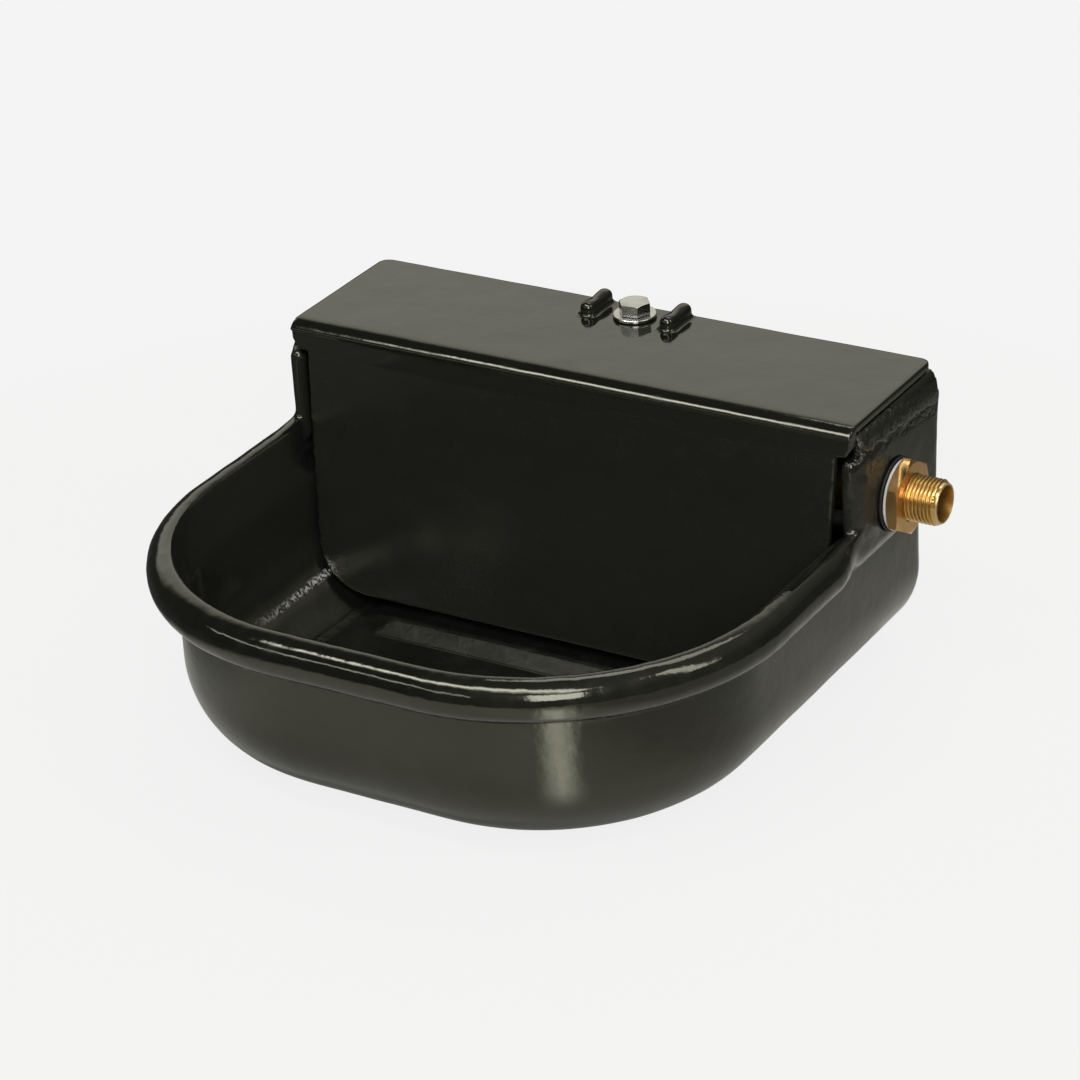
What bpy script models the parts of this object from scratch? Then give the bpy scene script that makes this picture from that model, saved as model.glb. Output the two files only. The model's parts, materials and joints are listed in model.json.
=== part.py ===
# Float drinking bowl for livestock: an enamelled cast-iron bowl with a float chamber across its back,
# an L-shaped cast cover held by one bolt, and a brass float valve that enters through the right wall.
# Metres, +Z up. The origin is the middle of the flat underside; the flat back faces +Y, the basin -Y.

import math

import bmesh
import bpy
from mathutils import Matrix, Vector

MM = 0.001

# Gap kept between pieces that touch, and the running gap round pieces that move
TOUCH_GAP = 0.3 * MM
RUN_GAP = 0.3 * MM

# Setback of a guide from the face it joins, and the distances that count as nothing
SKIN_SETBACK = 0.1 * MM
NEAR = 0.01 * MM
MERGE = 0.001 * MM

# Bowl casting, outside
BOWL_WIDTH = 300 * MM
BOWL_DEPTH = 272 * MM
CORNER_RADIUS = 116 * MM
BACK_CORNER_RADIUS = 6 * MM
RIM_HEIGHT = 90.5 * MM
RIM_RADIUS = 10.2 * MM
RIM_EDGE_RADIUS = 2.2 * MM
RIM_FLAT = 0.3 * MM
CREASE_HEIGHT = 69 * MM
CREASE_INSET = 12.7 * MM
FOOT_RADIUS = 39 * MM
BACK_FOOT_RADIUS = 16 * MM

# Bowl casting, inside
LOWER_WALL = 4.6 * MM
FLOOR_THICKNESS = 4.8 * MM
FLOOR_RADIUS = 34 * MM
BACK_WALL = 6 * MM
PAD_HEIGHT = 2.4 * MM
PAD_DEPTH = 100 * MM
PAD_RAMP = 13 * MM
PAD_WIDTH = 192 * MM
PAD_END = 12 * MM
PAD_SETBACK = 10 * MM

# Float chamber walls
CHAMBER_WIDTH = 291.6 * MM
CHAMBER_HEIGHT = 134.7 * MM
CHAMBER_DEPTH = 78.5 * MM
CHAMBER_BLEND = 26 * MM
LEDGE_DROP = 1.5 * MM
CROWN_HEIGHT = 13 * MM
CROWN_INSET = 5 * MM
BEAD_RADIUS = 4.5 * MM
BEAD_TOP = 124.4 * MM

# Boss for the cover bolt, and the two wall-mounting holes
BOLT_SETBACK = 13 * MM
BOSS_RADIUS = 9 * MM
BOSS_HEIGHT = 24 * MM
BOSS_TAPER = 2.5 * MM
WALL_HOLE_RADIUS = 5.5 * MM
WALL_HOLE_SPACING = 176 * MM
WALL_HOLE_HEIGHT = 112 * MM

# Cover
COVER_WIDTH = 285 * MM
COVER_DEPTH = 81 * MM
COVER_THICKNESS = 4 * MM
COVER_NOSE_RADIUS = 4 * MM
COVER_CORNER_RADIUS = 5 * MM
LIP_HEIGHT = 14 * MM
LIP_THICKNESS = 5.4 * MM
LIP_END_TAPER = 3 * MM
LIP_END_RISE = 5 * MM
PLATE_WIDTH = 270 * MM
PLATE_LOW_WIDTH = 258 * MM
PLATE_THICKNESS = 4.5 * MM
PLATE_STEP = 0.3 * MM
PLATE_LEAN = math.radians(6)
PLATE_CORNER_RADIUS = 26 * MM
PLATE_FLOOR_GAP = 3.4 * MM
RIB_LENGTH = 18.5 * MM
RIB_WIDTH = 5 * MM
RIB_HEIGHT = 6 * MM
RIB_ROOT = 1 * MM
RIB_EDGE = 1.2 * MM
RIB_SPACING = 41 * MM

# Cover bolt, M8
BOLT_RADIUS = 4 * MM
BOLT_FLATS = 13 * MM
BOLT_HEAD = 5.3 * MM
BOLT_CROWN_SLOPE = 0.5
BOLT_LENGTH = 25 * MM
BOLT_TURN = 12
BOLT_WASHER_RADIUS = 10 * MM
BOLT_WASHER_THICKNESS = 1.6 * MM

# Inlet: G 1/2 thread through the right wall
INLET_SETBACK = 46 * MM
INLET_HEIGHT = 94.5 * MM
THREAD_RADIUS = 10.48 * MM
THREAD_DEPTH = 1.16 * MM
THREAD_PITCH = 1.814 * MM
THREAD_TURNS = 8
INLET_BORE_RADIUS = 7.5 * MM
INLET_REACH = 24 * MM
NUT_FLATS = 31 * MM
NUT_CROWN_SLOPE = 0.1
NUT_THICKNESS = 5.4 * MM
FIBRE_RADIUS = 17.5 * MM
FIBRE_THICKNESS = 1.2 * MM
GASKET_RADIUS = 18 * MM
GASKET_THICKNESS = 1.2 * MM

# Valve body inside the chamber
FLANGE_RADIUS = 15 * MM
FLANGE_THICKNESS = 5 * MM
VALVE_CHAMFER = 0.8 * MM
BARREL_RADIUS = 12 * MM
BARREL_LENGTH = 26 * MM
BARREL_BORE_RADIUS = 7.3 * MM
SEAT_DEPTH = 9 * MM
WINDOW_RADIUS = 3.4 * MM
SHOULDER_FLATS = 26 * MM
SHOULDER_THICKNESS = 4 * MM
NOZZLE_LENGTH = 11 * MM
NOZZLE_TIP = 3 * MM
NOZZLE_TIP_RADIUS = 4.6 * MM
NOZZLE_TIP_FLARE = 0.6 * MM
ORIFICE_RADIUS = 2.5 * MM
RING_THICKNESS = 1.4 * MM
RING_EASE = 0.5 * MM
FORK_GAP = 18 * MM
FORK_THICKNESS = 2.6 * MM
FORK_HEIGHT = 9 * MM
FORK_ROOT = 12 * MM

# Piston
PISTON_NOSE = 8.6 * MM
PISTON_CHAMFER = 1 * MM
SLOT_EASE = 0.1 * MM
SEAL_RADIUS = 4.9 * MM
SEAL_THICKNESS = 2.6 * MM
SEAL_PROUD = 0.8 * MM

# Lever, rod and float
PIVOT_REACH = 9 * MM
PIVOT_DROP = 14.5 * MM
PIVOT_PIN_RADIUS = 1.6 * MM
PIN_HEAD_RADIUS = 2.8 * MM
PIN_HEAD_THICKNESS = 1.6 * MM
PIN_END = 4.1 * MM
TAPPET_RADIUS = 3 * MM
LEVER_THICKNESS = 5 * MM
STEM_WIDTH = 3.6 * MM
HUB_RADIUS = 5 * MM
SOCKET_RADIUS = 5 * MM
SOCKET_REACH = 22 * MM
SOCKET_SETBACK = 1 * MM
SOCKET_FLOOR = 4 * MM
ARM_HALF_HEIGHT = 3.2 * MM
ROD_RADIUS = 2.5 * MM
ROD_LENGTH = 200 * MM
END_CHAMFER = 0.5 * MM
FLOAT_LENGTH = 100 * MM
FLOAT_WIDTH = 60 * MM
FLOAT_HEIGHT = 33 * MM
FLOAT_EDGE_RADIUS = 9 * MM
FLOAT_DROP = 21 * MM
FLOAT_TUBE_PROUD = 1 * MM
FLOAT_TUBE_RADIUS = 6 * MM
FLOAT_START = 96 * MM
ROD_NUT_FLATS = 8 * MM
ROD_NUT_THICKNESS = 4 * MM
ROD_WASHER_RADIUS = 5 * MM
ROD_WASHER_THICKNESS = 1 * MM
FLOAT_TRAVEL = math.radians(8.5)

# Split pin through the pivot pin's free end
SPLIT_RADIUS = 0.5 * MM
SPLIT_LENGTH = 9 * MM
SPLIT_EYE_RADIUS = 1.5 * MM

# Facets round a full turn
ROUND_STEPS = 32
PLAIN_STEPS = 24
DRILL_STEPS = 28
SMALL_STEPS = 20

# Finishes: colour, roughness, metallic
ENAMEL = ((0.018, 0.019, 0.016), 0.12, 0.0)
BRASS = ((0.80, 0.56, 0.20), 0.28, 1.0)
BRIGHT_STEEL = ((0.72, 0.72, 0.70), 0.22, 1.0)
BLACK_RUBBER = ((0.02, 0.02, 0.02), 0.7, 0.0)
WHITE_FIBRE = ((0.72, 0.72, 0.70), 0.6, 0.0)
FLOAT_PLASTIC = ((0.70, 0.70, 0.66), 0.45, 0.0)

# Places worked out from the sizes
BACK_Y = BOWL_DEPTH / 2
FRONT_Y = -BOWL_DEPTH / 2
HALF_WIDTH = BOWL_WIDTH / 2
CHAMBER_HALF = CHAMBER_WIDTH / 2
CHAMBER_FRONT_Y = BACK_Y - CHAMBER_DEPTH
CHAMBER_INNER_HALF = HALF_WIDTH - RIM_RADIUS - RIM_FLAT
FLOOR_TOP = FLOOR_THICKNESS + PAD_HEIGHT
COVER_UNDER = CHAMBER_HEIGHT + TOUCH_GAP
COVER_TOP = COVER_UNDER + COVER_THICKNESS
COVER_BACK_Y = BACK_Y - 2 * TOUCH_GAP
COVER_FRONT_Y = BACK_Y - COVER_DEPTH
LIP_BOTTOM = COVER_TOP - LIP_HEIGHT
CHAMBER_LEDGE = INLET_HEIGHT - GASKET_RADIUS - LEDGE_DROP
PLATE_BOTTOM = FLOOR_TOP + PLATE_FLOOR_GAP
BOLT_Y = BACK_Y - BOLT_SETBACK
INLET_Y = BACK_Y - INLET_SETBACK


def clear_scene():
    for item in list(bpy.data.objects):
        bpy.data.objects.remove(item, do_unlink=True)


def add_material(item, finish):
    """The sub-part's own Principled material, from its finish: colour, roughness and metallic value."""
    colour, roughness, metallic = finish
    made = bpy.data.materials.new(item.name + "_finish")
    made.use_nodes = True
    shader = made.node_tree.nodes["Principled BSDF"]
    shader.inputs["Base Color"].default_value = (*colour, 1.0)
    shader.inputs["Roughness"].default_value = roughness
    shader.inputs["Metallic"].default_value = metallic
    item.data.materials.append(made)


def add_object(name, mesh_data, finish=None):
    mesh = bpy.data.meshes.new(name)
    bmesh.ops.recalc_face_normals(mesh_data, faces=mesh_data.faces)
    mesh_data.to_mesh(mesh)
    mesh_data.free()
    item = bpy.data.objects.new(name, mesh)
    bpy.context.scene.collection.objects.link(item)
    if finish:
        add_material(item, finish)
    return item


def hide_guide(item):
    item.hide_render = True
    item.display_type = "WIRE"
    return item


def smooth(item, sharp_angle=30):
    item.data.shade_smooth()
    item.data.set_sharp_from_angle(angle=math.radians(sharp_angle))
    return item


def boolean(item, other, operation):
    step = item.modifiers.new(operation.lower(), "BOOLEAN")
    step.operation = operation
    step.solver = "EXACT"
    step.object = hide_guide(other)
    return item


def cut(item, cutter):
    return boolean(item, cutter, "DIFFERENCE")


def join(item, added):
    return boolean(item, added, "UNION")


def loft(mesh_data, rings, cap_start=True, cap_end=True):
    """Closed rings of points with one count, joined in order; returns the last ring's vertices."""
    made = []
    for ring in rings:
        made.append([mesh_data.verts.new(point) for point in ring])
    for lower, upper in zip(made[:-1], made[1:]):
        count = len(lower)
        for index in range(count):
            after = (index + 1) % count
            mesh_data.faces.new((lower[index], lower[after], upper[after], upper[index]))
    if cap_start:
        mesh_data.faces.new(made[0])
    if cap_end:
        mesh_data.faces.new(made[-1])
    return made[-1]


def turned(name, profile, finish, centre=(0, 0, 0), along="Z", steps=ROUND_STEPS):
    """A closed outline of (radius, height) points, spun a full turn; on the axis its ends are flat."""
    mesh_data = bmesh.new()
    corners = [mesh_data.verts.new((radius, 0, height)) for radius, height in profile]
    edges = []
    for index, corner in enumerate(corners):
        edges.append(mesh_data.edges.new((corner, corners[(index + 1) % len(corners)])))
    bmesh.ops.spin(
        mesh_data,
        geom=corners + edges,
        cent=(0, 0, 0),
        axis=(0, 0, 1),
        angle=math.tau,
        steps=steps,
        use_merge=True,
    )
    bmesh.ops.remove_doubles(mesh_data, verts=mesh_data.verts, dist=MERGE)
    poles = [vertex for vertex in mesh_data.verts if vertex.co.xy.length < MERGE]
    bmesh.ops.dissolve_verts(mesh_data, verts=poles)
    if along == "X":
        bmesh.ops.rotate(mesh_data, verts=mesh_data.verts, matrix=Matrix.Rotation(math.pi / 2, 3, "Y"))
    if along == "Y":
        bmesh.ops.rotate(mesh_data, verts=mesh_data.verts, matrix=Matrix.Rotation(-math.pi / 2, 3, "X"))
    bmesh.ops.translate(mesh_data, verts=mesh_data.verts, vec=centre)
    return smooth(add_object(name, mesh_data, finish))


def solid_disc(name, radius, thickness, finish, centre, along="Z", steps=ROUND_STEPS, chamfer=0.0):
    profile = [(0, 0), (radius - chamfer, 0)]
    if chamfer:
        profile += [(radius, chamfer), (radius, thickness - chamfer)]
    else:
        profile += [(radius, thickness)]
    profile += [(radius - chamfer, thickness), (0, thickness)] if chamfer else [(0, thickness)]
    return turned(name, profile, finish, centre, along, steps)


def ring_disc(name, outer, inner, thickness, finish, centre, along="Z", steps=ROUND_STEPS):
    profile = [(inner, 0), (outer, 0), (outer, thickness), (inner, thickness)]
    return turned(name, profile, finish, centre, along, steps)


def block(name, low, high, finish=None, bevel=0.0, segments=2):
    mesh_data = bmesh.new()
    bmesh.ops.create_cube(mesh_data, size=1.0)
    size = Vector(high) - Vector(low)
    centre = (Vector(high) + Vector(low)) / 2
    bmesh.ops.scale(mesh_data, verts=mesh_data.verts, vec=size)
    bmesh.ops.translate(mesh_data, verts=mesh_data.verts, vec=centre)
    if bevel:
        bmesh.ops.bevel(
            mesh_data,
            geom=mesh_data.edges,
            offset=bevel,
            segments=segments,
            profile=0.5,
            affect="EDGES",
            material=-1,
        )
    return add_object(name, mesh_data, finish)


def prism(name, outline, start, end, finish=None, plane="XY"):
    """A flat outline extruded from start to end along the axis that its plane leaves out."""
    places = {
        "XY": lambda a, b, c: (a, b, c),
        "XZ": lambda a, b, c: (a, c, b),
        "YZ": lambda a, b, c: (c, a, b),
    }
    place = places[plane]
    mesh_data = bmesh.new()
    loft(mesh_data, [[place(a, b, height) for a, b in outline] for height in (start, end)])
    return add_object(name, mesh_data, finish)


def arc(centre, radius, start, end, steps):
    """Points on an arc, angles in degrees, both ends included."""
    points = []
    for index in range(steps + 1):
        angle = math.radians(start + (end - start) * index / steps)
        points.append((centre[0] + radius * math.cos(angle), centre[1] + radius * math.sin(angle)))
    return points


def hexagon(flats, turn=0):
    return arc((0, 0), flats / math.sqrt(3), turn, turn + 300, 5)


def smooth_step(value, low, high):
    share = min(max((value - low) / (high - low), 0), 1)
    return share * share * (3 - 2 * share)


SIDE_STATIONS = [CHAMBER_DEPTH * share for share in (0.4, 0.75)] + [
    CHAMBER_DEPTH + CHAMBER_BLEND * share for share in (0, 0.2, 0.4, 0.6, 0.8, 1)
]


def bowl_outline(inset, back_inset, chamber_half):
    """The bowl's plan at one level, from the back's middle round the right side to the front and back.
    The side moves from chamber_half beside the chamber to the bowl's own half width in front of it."""
    half = HALF_WIDTH - inset
    corner = CORNER_RADIUS - inset
    back = BACK_Y - back_inset
    front = FRONT_Y + inset
    turn = BACK_CORNER_RADIUS
    right = arc((half - turn, back - turn), turn, 90, 0, 3)
    right += [(half, BACK_Y - station) for station in SIDE_STATIONS]
    right += arc((half - corner, front + corner), corner, 0, -90, 16)
    shaped = []
    for x, y in right:
        ahead = smooth_step(CHAMBER_FRONT_Y - y, 0, CHAMBER_BLEND)
        if y > front + corner:
            x += (chamber_half - half) * (1 - ahead)
        shaped.append((x, y))
    left = [(-x, y) for x, y in reversed(shaped)]
    return shaped + left


def foot_inset(height, radius):
    """How far a foot fillet of this radius draws the back in at a height above its lowest point."""
    short = min(max(radius - height, 0), radius)
    return radius - math.sqrt(radius**2 - short**2)


def outer_levels():
    """(height, inset in front, half width beside the chamber) from the underside up to the crest."""
    levels = []
    for inset, height in arc((FOOT_RADIUS + CREASE_INSET, FOOT_RADIUS), FOOT_RADIUS, -90, -180, 8):
        levels.append((height, inset, HALF_WIDTH - inset))
    levels.append((CREASE_HEIGHT, CREASE_INSET, HALF_WIDTH - CREASE_INSET))
    centre = RIM_HEIGHT - RIM_RADIUS
    side_rise = centre - CREASE_HEIGHT
    for inset, height in arc((RIM_RADIUS, centre), RIM_RADIUS, 258, 90, 11):
        share = min((height - CREASE_HEIGHT) / side_rise, 1)
        bulge = math.sqrt(1 - (1 - share) ** 2)
        low_half = HALF_WIDTH - CREASE_INSET
        levels.append((height, inset, low_half + (CHAMBER_HALF - low_half) * bulge))
    return levels


def bowl_outside():
    """The bowl's outer skin with the chamber's walls as a solid block above its back part."""
    mesh_data = bmesh.new()
    rings = []
    for height, inset, chamber_half in outer_levels():
        plan = bowl_outline(inset, foot_inset(height, BACK_FOOT_RADIUS), chamber_half)
        rings.append([(x, y, height) for x, y in plan])
    crest = loft(mesh_data, rings, cap_end=False)
    behind = [vertex for vertex in crest if vertex.co.y > CHAMBER_FRONT_Y - NEAR]
    right = [vertex for vertex in behind if vertex.co.x > 0]
    left = [vertex for vertex in behind if vertex.co.x < 0]
    ahead = [vertex for vertex in crest if vertex not in behind]
    mesh_data.faces.new([right[-1]] + ahead + [left[0]])
    loop = right + left
    straight = CHAMBER_HEIGHT - CROWN_HEIGHT
    rises = [(straight, 0.0)]
    for index in range(1, 5):
        turn = math.pi / 2 * index / 4
        rises.append((straight + CROWN_HEIGHT * math.sin(turn), CROWN_INSET * (1 - math.cos(turn))))
    below = loop
    for height, crown in rises:
        above = []
        for vertex in loop:
            side = math.copysign(1, vertex.co.x)
            inner = abs(vertex.co.x) < CHAMBER_HALF - BACK_CORNER_RADIUS - NEAR
            x = vertex.co.x - (0 if inner else side * crown)
            above.append(mesh_data.verts.new((x, vertex.co.y, height)))
        count = len(below)
        for index in range(count):
            after = (index + 1) % count
            mesh_data.faces.new((below[index], below[after], above[after], above[index]))
        below = above
    mesh_data.faces.new(below)
    bmesh.ops.triangulate(mesh_data, faces=mesh_data.faces)
    return add_object("bowl_body", mesh_data, ENAMEL)


def inner_levels():
    """(height, inset in front, half width beside the chamber) of the hollow, from floor to open top."""
    wall_inset = CREASE_INSET + LOWER_WALL
    top_inset = RIM_RADIUS + RIM_FLAT
    edge_height = RIM_HEIGHT - RIM_EDGE_RADIUS
    taper_start = CREASE_HEIGHT - LOWER_WALL
    share = (CHAMBER_LEDGE - taper_start) / (edge_height - taper_start)
    edge_inset = top_inset + RIM_EDGE_RADIUS
    ledge_inset = wall_inset + (edge_inset - wall_inset) * share
    levels = []
    turn = (wall_inset + FLOOR_RADIUS, FLOOR_THICKNESS + FLOOR_RADIUS)
    for inset, height in arc(turn, FLOOR_RADIUS, -90, -180, 7):
        levels.append((height, inset, HALF_WIDTH - inset))
    levels.append((taper_start, wall_inset, HALF_WIDTH - wall_inset))
    levels.append((CHAMBER_LEDGE, ledge_inset, CHAMBER_INNER_HALF))
    for inset, height in arc((top_inset, edge_height), RIM_EDGE_RADIUS, 0, 90, 3):
        levels.append((height, inset, CHAMBER_INNER_HALF))
    levels.append((CHAMBER_HEIGHT + COVER_THICKNESS, top_inset, CHAMBER_INNER_HALF))
    return levels


def bowl_hollow():
    mesh_data = bmesh.new()
    rings = []
    for height, inset, chamber_half in inner_levels():
        rise = foot_inset(height - FLOOR_THICKNESS, BACK_FOOT_RADIUS - BACK_WALL)
        plan = bowl_outline(inset, BACK_WALL + rise, chamber_half)
        rings.append([(x, y, height) for x, y in plan])
    loft(mesh_data, rings)
    bmesh.ops.triangulate(mesh_data, faces=mesh_data.faces)
    return add_object("bowl_hollow", mesh_data)


def chamber_pad():
    """The low pad under the chamber, whose front edge ramps down to the basin's floor."""
    foot = PAD_HEIGHT + FLOOR_THICKNESS / 2
    slope = PAD_RAMP * foot / PAD_HEIGHT
    rings = []
    for height, ahead in ((FLOOR_TOP - foot, slope), (FLOOR_TOP, 0)):
        front = BACK_Y - PAD_DEPTH - ahead
        half = PAD_WIDTH / 2 + ahead / 2
        plan = [
            (half, BACK_Y - PAD_SETBACK),
            (half, front + PAD_END),
            (half - PAD_END, front),
            (PAD_END - half, front),
            (-half, front + PAD_END),
            (-half, BACK_Y - PAD_SETBACK),
        ]
        rings.append([(x, y, height) for x, y in plan])
    mesh_data = bmesh.new()
    loft(mesh_data, rings)
    return add_object("chamber_pad", mesh_data)


def front_bead(side):
    """The rounded front edge of one chamber wall."""
    bottom = RIM_HEIGHT - RIM_RADIUS
    dome = arc((0, BEAD_TOP - BEAD_RADIUS), BEAD_RADIUS, 0, 90, 4)
    profile = [(0, bottom), (BEAD_RADIUS, bottom)] + dome
    x = side * (CHAMBER_HALF - BEAD_RADIUS - SKIN_SETBACK)
    return turned("bead_guide", profile, None, (x, CHAMBER_FRONT_Y, 0), "Z", PLAIN_STEPS)


def cover_boss():
    """The boss on the back wall that takes the cover bolt."""
    top = CHAMBER_HEIGHT - TOUCH_GAP
    bottom = top - BOSS_HEIGHT
    web_half = BOSS_RADIUS - BOSS_TAPER
    profile = [
        (0, bottom),
        (BOSS_RADIUS - BOSS_TAPER, bottom),
        (BOSS_RADIUS, bottom + 2 * BOSS_TAPER),
        (BOSS_RADIUS, top),
        (0, top),
    ]
    round_boss = turned("boss_guide", profile, None, (0, BOLT_Y, 0), "Z", PLAIN_STEPS)
    low = (-web_half, BOLT_Y + BOLT_RADIUS + BOSS_TAPER, bottom + BOSS_TAPER)
    high = (web_half, BACK_Y - BACK_WALL / 2, top - TOUCH_GAP)
    web = block("boss_web_guide", low, high)
    return round_boss, web


def make_bowl():
    bowl = bowl_outside()
    cut(bowl, bowl_hollow())
    join(bowl, chamber_pad())
    notch_back = COVER_FRONT_Y + LIP_THICKNESS + 2 * TOUCH_GAP
    notch_top = COVER_TOP + COVER_THICKNESS
    cut(bowl, block("lip_notch", (-BOWL_WIDTH, FRONT_Y, BEAD_TOP), (BOWL_WIDTH, notch_back, notch_top)))
    for side in (-1, 1):
        join(bowl, front_bead(side))
    for piece in cover_boss():
        join(bowl, piece)
    drill = BOLT_RADIUS + RUN_GAP
    place = (0, BOLT_Y, CHAMBER_HEIGHT - 1.5 * BOSS_HEIGHT)
    cut(bowl, solid_disc("bolt_drill", drill, 2 * BOSS_HEIGHT, None, place, "Z", DRILL_STEPS))
    inlet = THREAD_RADIUS + RUN_GAP
    place = (CHAMBER_INNER_HALF - BACK_WALL, INLET_Y, INLET_HEIGHT)
    cut(bowl, solid_disc("inlet_drill", inlet, 4 * BACK_WALL, None, place, "X"))
    depth = 3 * BACK_WALL
    for side in (-1, 1):
        place = (side * WALL_HOLE_SPACING / 2, BACK_Y - 2 * BACK_WALL, WALL_HOLE_HEIGHT)
        cut(bowl, solid_disc("wall_drill", WALL_HOLE_RADIUS, depth, None, place, "Y", PLAIN_STEPS))
    return smooth(bowl, 35)


def cover_plate():
    """The front plate below the lip: it leans forward, narrows downwards and has round lower corners."""
    top = LIP_BOTTOM + LIP_THICKNESS / 2
    half = PLATE_WIDTH / 2
    narrowing = (PLATE_WIDTH - PLATE_LOW_WIDTH) / 2 / (LIP_BOTTOM - PLATE_BOTTOM)
    corner = PLATE_CORNER_RADIUS
    corner_half = half - narrowing * (LIP_BOTTOM - PLATE_BOTTOM - corner)
    right = [(half, top)]
    right += arc((corner_half - corner, PLATE_BOTTOM + corner), corner, 0, -90, 7)
    outline = right + [(-x, z) for x, z in reversed(right)]
    lean = math.tan(PLATE_LEAN)
    rings = []
    for depth in (PLATE_STEP, PLATE_STEP + PLATE_THICKNESS):
        rings.append([(x, COVER_FRONT_Y + depth - lean * (LIP_BOTTOM - z), z) for x, z in outline])
    mesh_data = bmesh.new()
    loft(mesh_data, rings)
    return add_object("cover_plate_guide", mesh_data)


def cover_lip():
    """The rounded nose along the cover's front edge and the lip that hangs from it."""
    nose = COVER_NOSE_RADIUS
    back = COVER_FRONT_Y + LIP_THICKNESS
    inside = COVER_UNDER + (COVER_TOP - COVER_UNDER) / 3
    outline = arc((COVER_FRONT_Y + nose, COVER_TOP - nose), nose, 90, 180, 5)
    outline += [(COVER_FRONT_Y, LIP_BOTTOM), (back, LIP_BOTTOM), (back, inside)]
    outline += [(back + nose, inside), (back + nose, COVER_TOP)]
    lip = prism("cover_lip_guide", outline, -COVER_WIDTH / 2, COVER_WIDTH / 2, None, "YZ")
    for side in (-1, 1):
        across = side * LIP_END_TAPER
        end = side * COVER_WIDTH / 2
        corner = [
            (end - 1.5 * across, LIP_BOTTOM - LIP_END_RISE / 2),
            (end + across / 2, LIP_BOTTOM - LIP_END_RISE / 2),
            (end + across / 2, LIP_BOTTOM + LIP_END_RISE * 1.5),
        ]
        cut(lip, prism("lip_corner_guide", corner, COVER_FRONT_Y - nose, back + nose, None, "XZ"))
    return lip


def rib_guide(side):
    x = side * RIB_SPACING / 2
    low = (x - RIB_WIDTH / 2, COVER_BACK_Y - RIB_LENGTH, COVER_TOP - RIB_ROOT)
    high = (x + RIB_WIDTH / 2, COVER_BACK_Y - SKIN_SETBACK, COVER_TOP + RIB_HEIGHT)
    return block("rib_guide", low, high, None, RIB_EDGE)


def make_cover():
    nose = COVER_NOSE_RADIUS
    half = COVER_WIDTH / 2
    corner = COVER_CORNER_RADIUS
    plan = [(-half, COVER_FRONT_Y + nose), (half, COVER_FRONT_Y + nose)]
    plan += arc((half - corner, COVER_BACK_Y - corner), corner, 0, 90, 4)
    plan += arc((corner - half, COVER_BACK_Y - corner), corner, 90, 180, 4)
    cover = prism("cover", plan, COVER_UNDER, COVER_TOP, ENAMEL)
    join(cover, cover_lip())
    join(cover, cover_plate())
    for side in (-1, 1):
        join(cover, rib_guide(side))
    drill = BOLT_RADIUS + RUN_GAP
    place = (0, BOLT_Y, COVER_UNDER - COVER_THICKNESS)
    cut(cover, solid_disc("cover_drill", drill, 4 * COVER_THICKNESS, None, place, "Z", DRILL_STEPS))
    return smooth(cover, 35)


def hex_head(name, flats, start, end, centre, axis, finish, turn=0):
    """A hexagonal prism about the line through centre along Z or X."""
    outline = hexagon(flats, turn)
    if axis == "Z":
        outline = [(centre[0] + a, centre[1] + b) for a, b in outline]
        return prism(name, outline, start, end, finish, "XY")
    outline = [(centre[1] + a, centre[2] + b) for a, b in outline]
    return prism(name, outline, start, end, finish, "YZ")


def make_cover_bolt():
    seat = COVER_TOP + 2 * TOUCH_GAP + BOLT_WASHER_THICKNESS
    centre = (0, BOLT_Y, 0)
    bolt = hex_head("cover_bolt", BOLT_FLATS, seat, seat + BOLT_HEAD, centre, "Z", BRIGHT_STEEL, BOLT_TURN)
    chamfer = BOLT_RADIUS / 5
    profile = [
        (0, seat - BOLT_LENGTH),
        (BOLT_RADIUS - chamfer, seat - BOLT_LENGTH),
        (BOLT_RADIUS, seat - BOLT_LENGTH + chamfer),
        (BOLT_RADIUS, seat + BOLT_HEAD / 2),
        (0, seat + BOLT_HEAD / 2),
    ]
    join(bolt, turned("shank_guide", profile, None, centre, "Z", DRILL_STEPS))
    corner = BOLT_FLATS / math.sqrt(3)
    crown = [
        (0, seat - 2 * BOLT_LENGTH),
        (2 * corner, seat - 2 * BOLT_LENGTH),
        (2 * corner, seat + BOLT_HEAD - (2 * corner - BOLT_FLATS / 2) * BOLT_CROWN_SLOPE),
        (BOLT_FLATS / 2, seat + BOLT_HEAD),
        (BOLT_FLATS / 2, seat + 2 * BOLT_HEAD),
        (0, seat + 2 * BOLT_HEAD),
    ]
    shape = turned("bolt_crown_guide", crown, None, centre, "Z", PLAIN_STEPS)
    boolean(bolt, shape, "INTERSECT")
    ring_disc(
        "cover_washer",
        BOLT_WASHER_RADIUS,
        BOLT_RADIUS + RUN_GAP,
        BOLT_WASHER_THICKNESS,
        BRIGHT_STEEL,
        (0, BOLT_Y, COVER_TOP + TOUCH_GAP),
    )
    return smooth(bolt)


# The stack on the inlet, worked outwards from the right wall, and inwards from its inner face
GASKET_X = CHAMBER_HALF + TOUCH_GAP
FIBRE_X = GASKET_X + GASKET_THICKNESS + TOUCH_GAP
NUT_X = FIBRE_X + FIBRE_THICKNESS + TOUCH_GAP
INLET_END_X = CHAMBER_HALF + INLET_REACH
INNER_GASKET_X = CHAMBER_INNER_HALF - TOUCH_GAP - GASKET_THICKNESS
FLANGE_X = INNER_GASKET_X - TOUCH_GAP - FLANGE_THICKNESS
BARREL_X = FLANGE_X - BARREL_LENGTH
SEAT_X = BARREL_X + SEAT_DEPTH
NOZZLE_X = SEAT_X + NOZZLE_TIP
PIVOT_X = BARREL_X - PIVOT_REACH
PIVOT_Z = INLET_HEIGHT - PIVOT_DROP
PISTON_TRAVEL = PIVOT_DROP * math.sin(FLOAT_TRAVEL)


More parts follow.
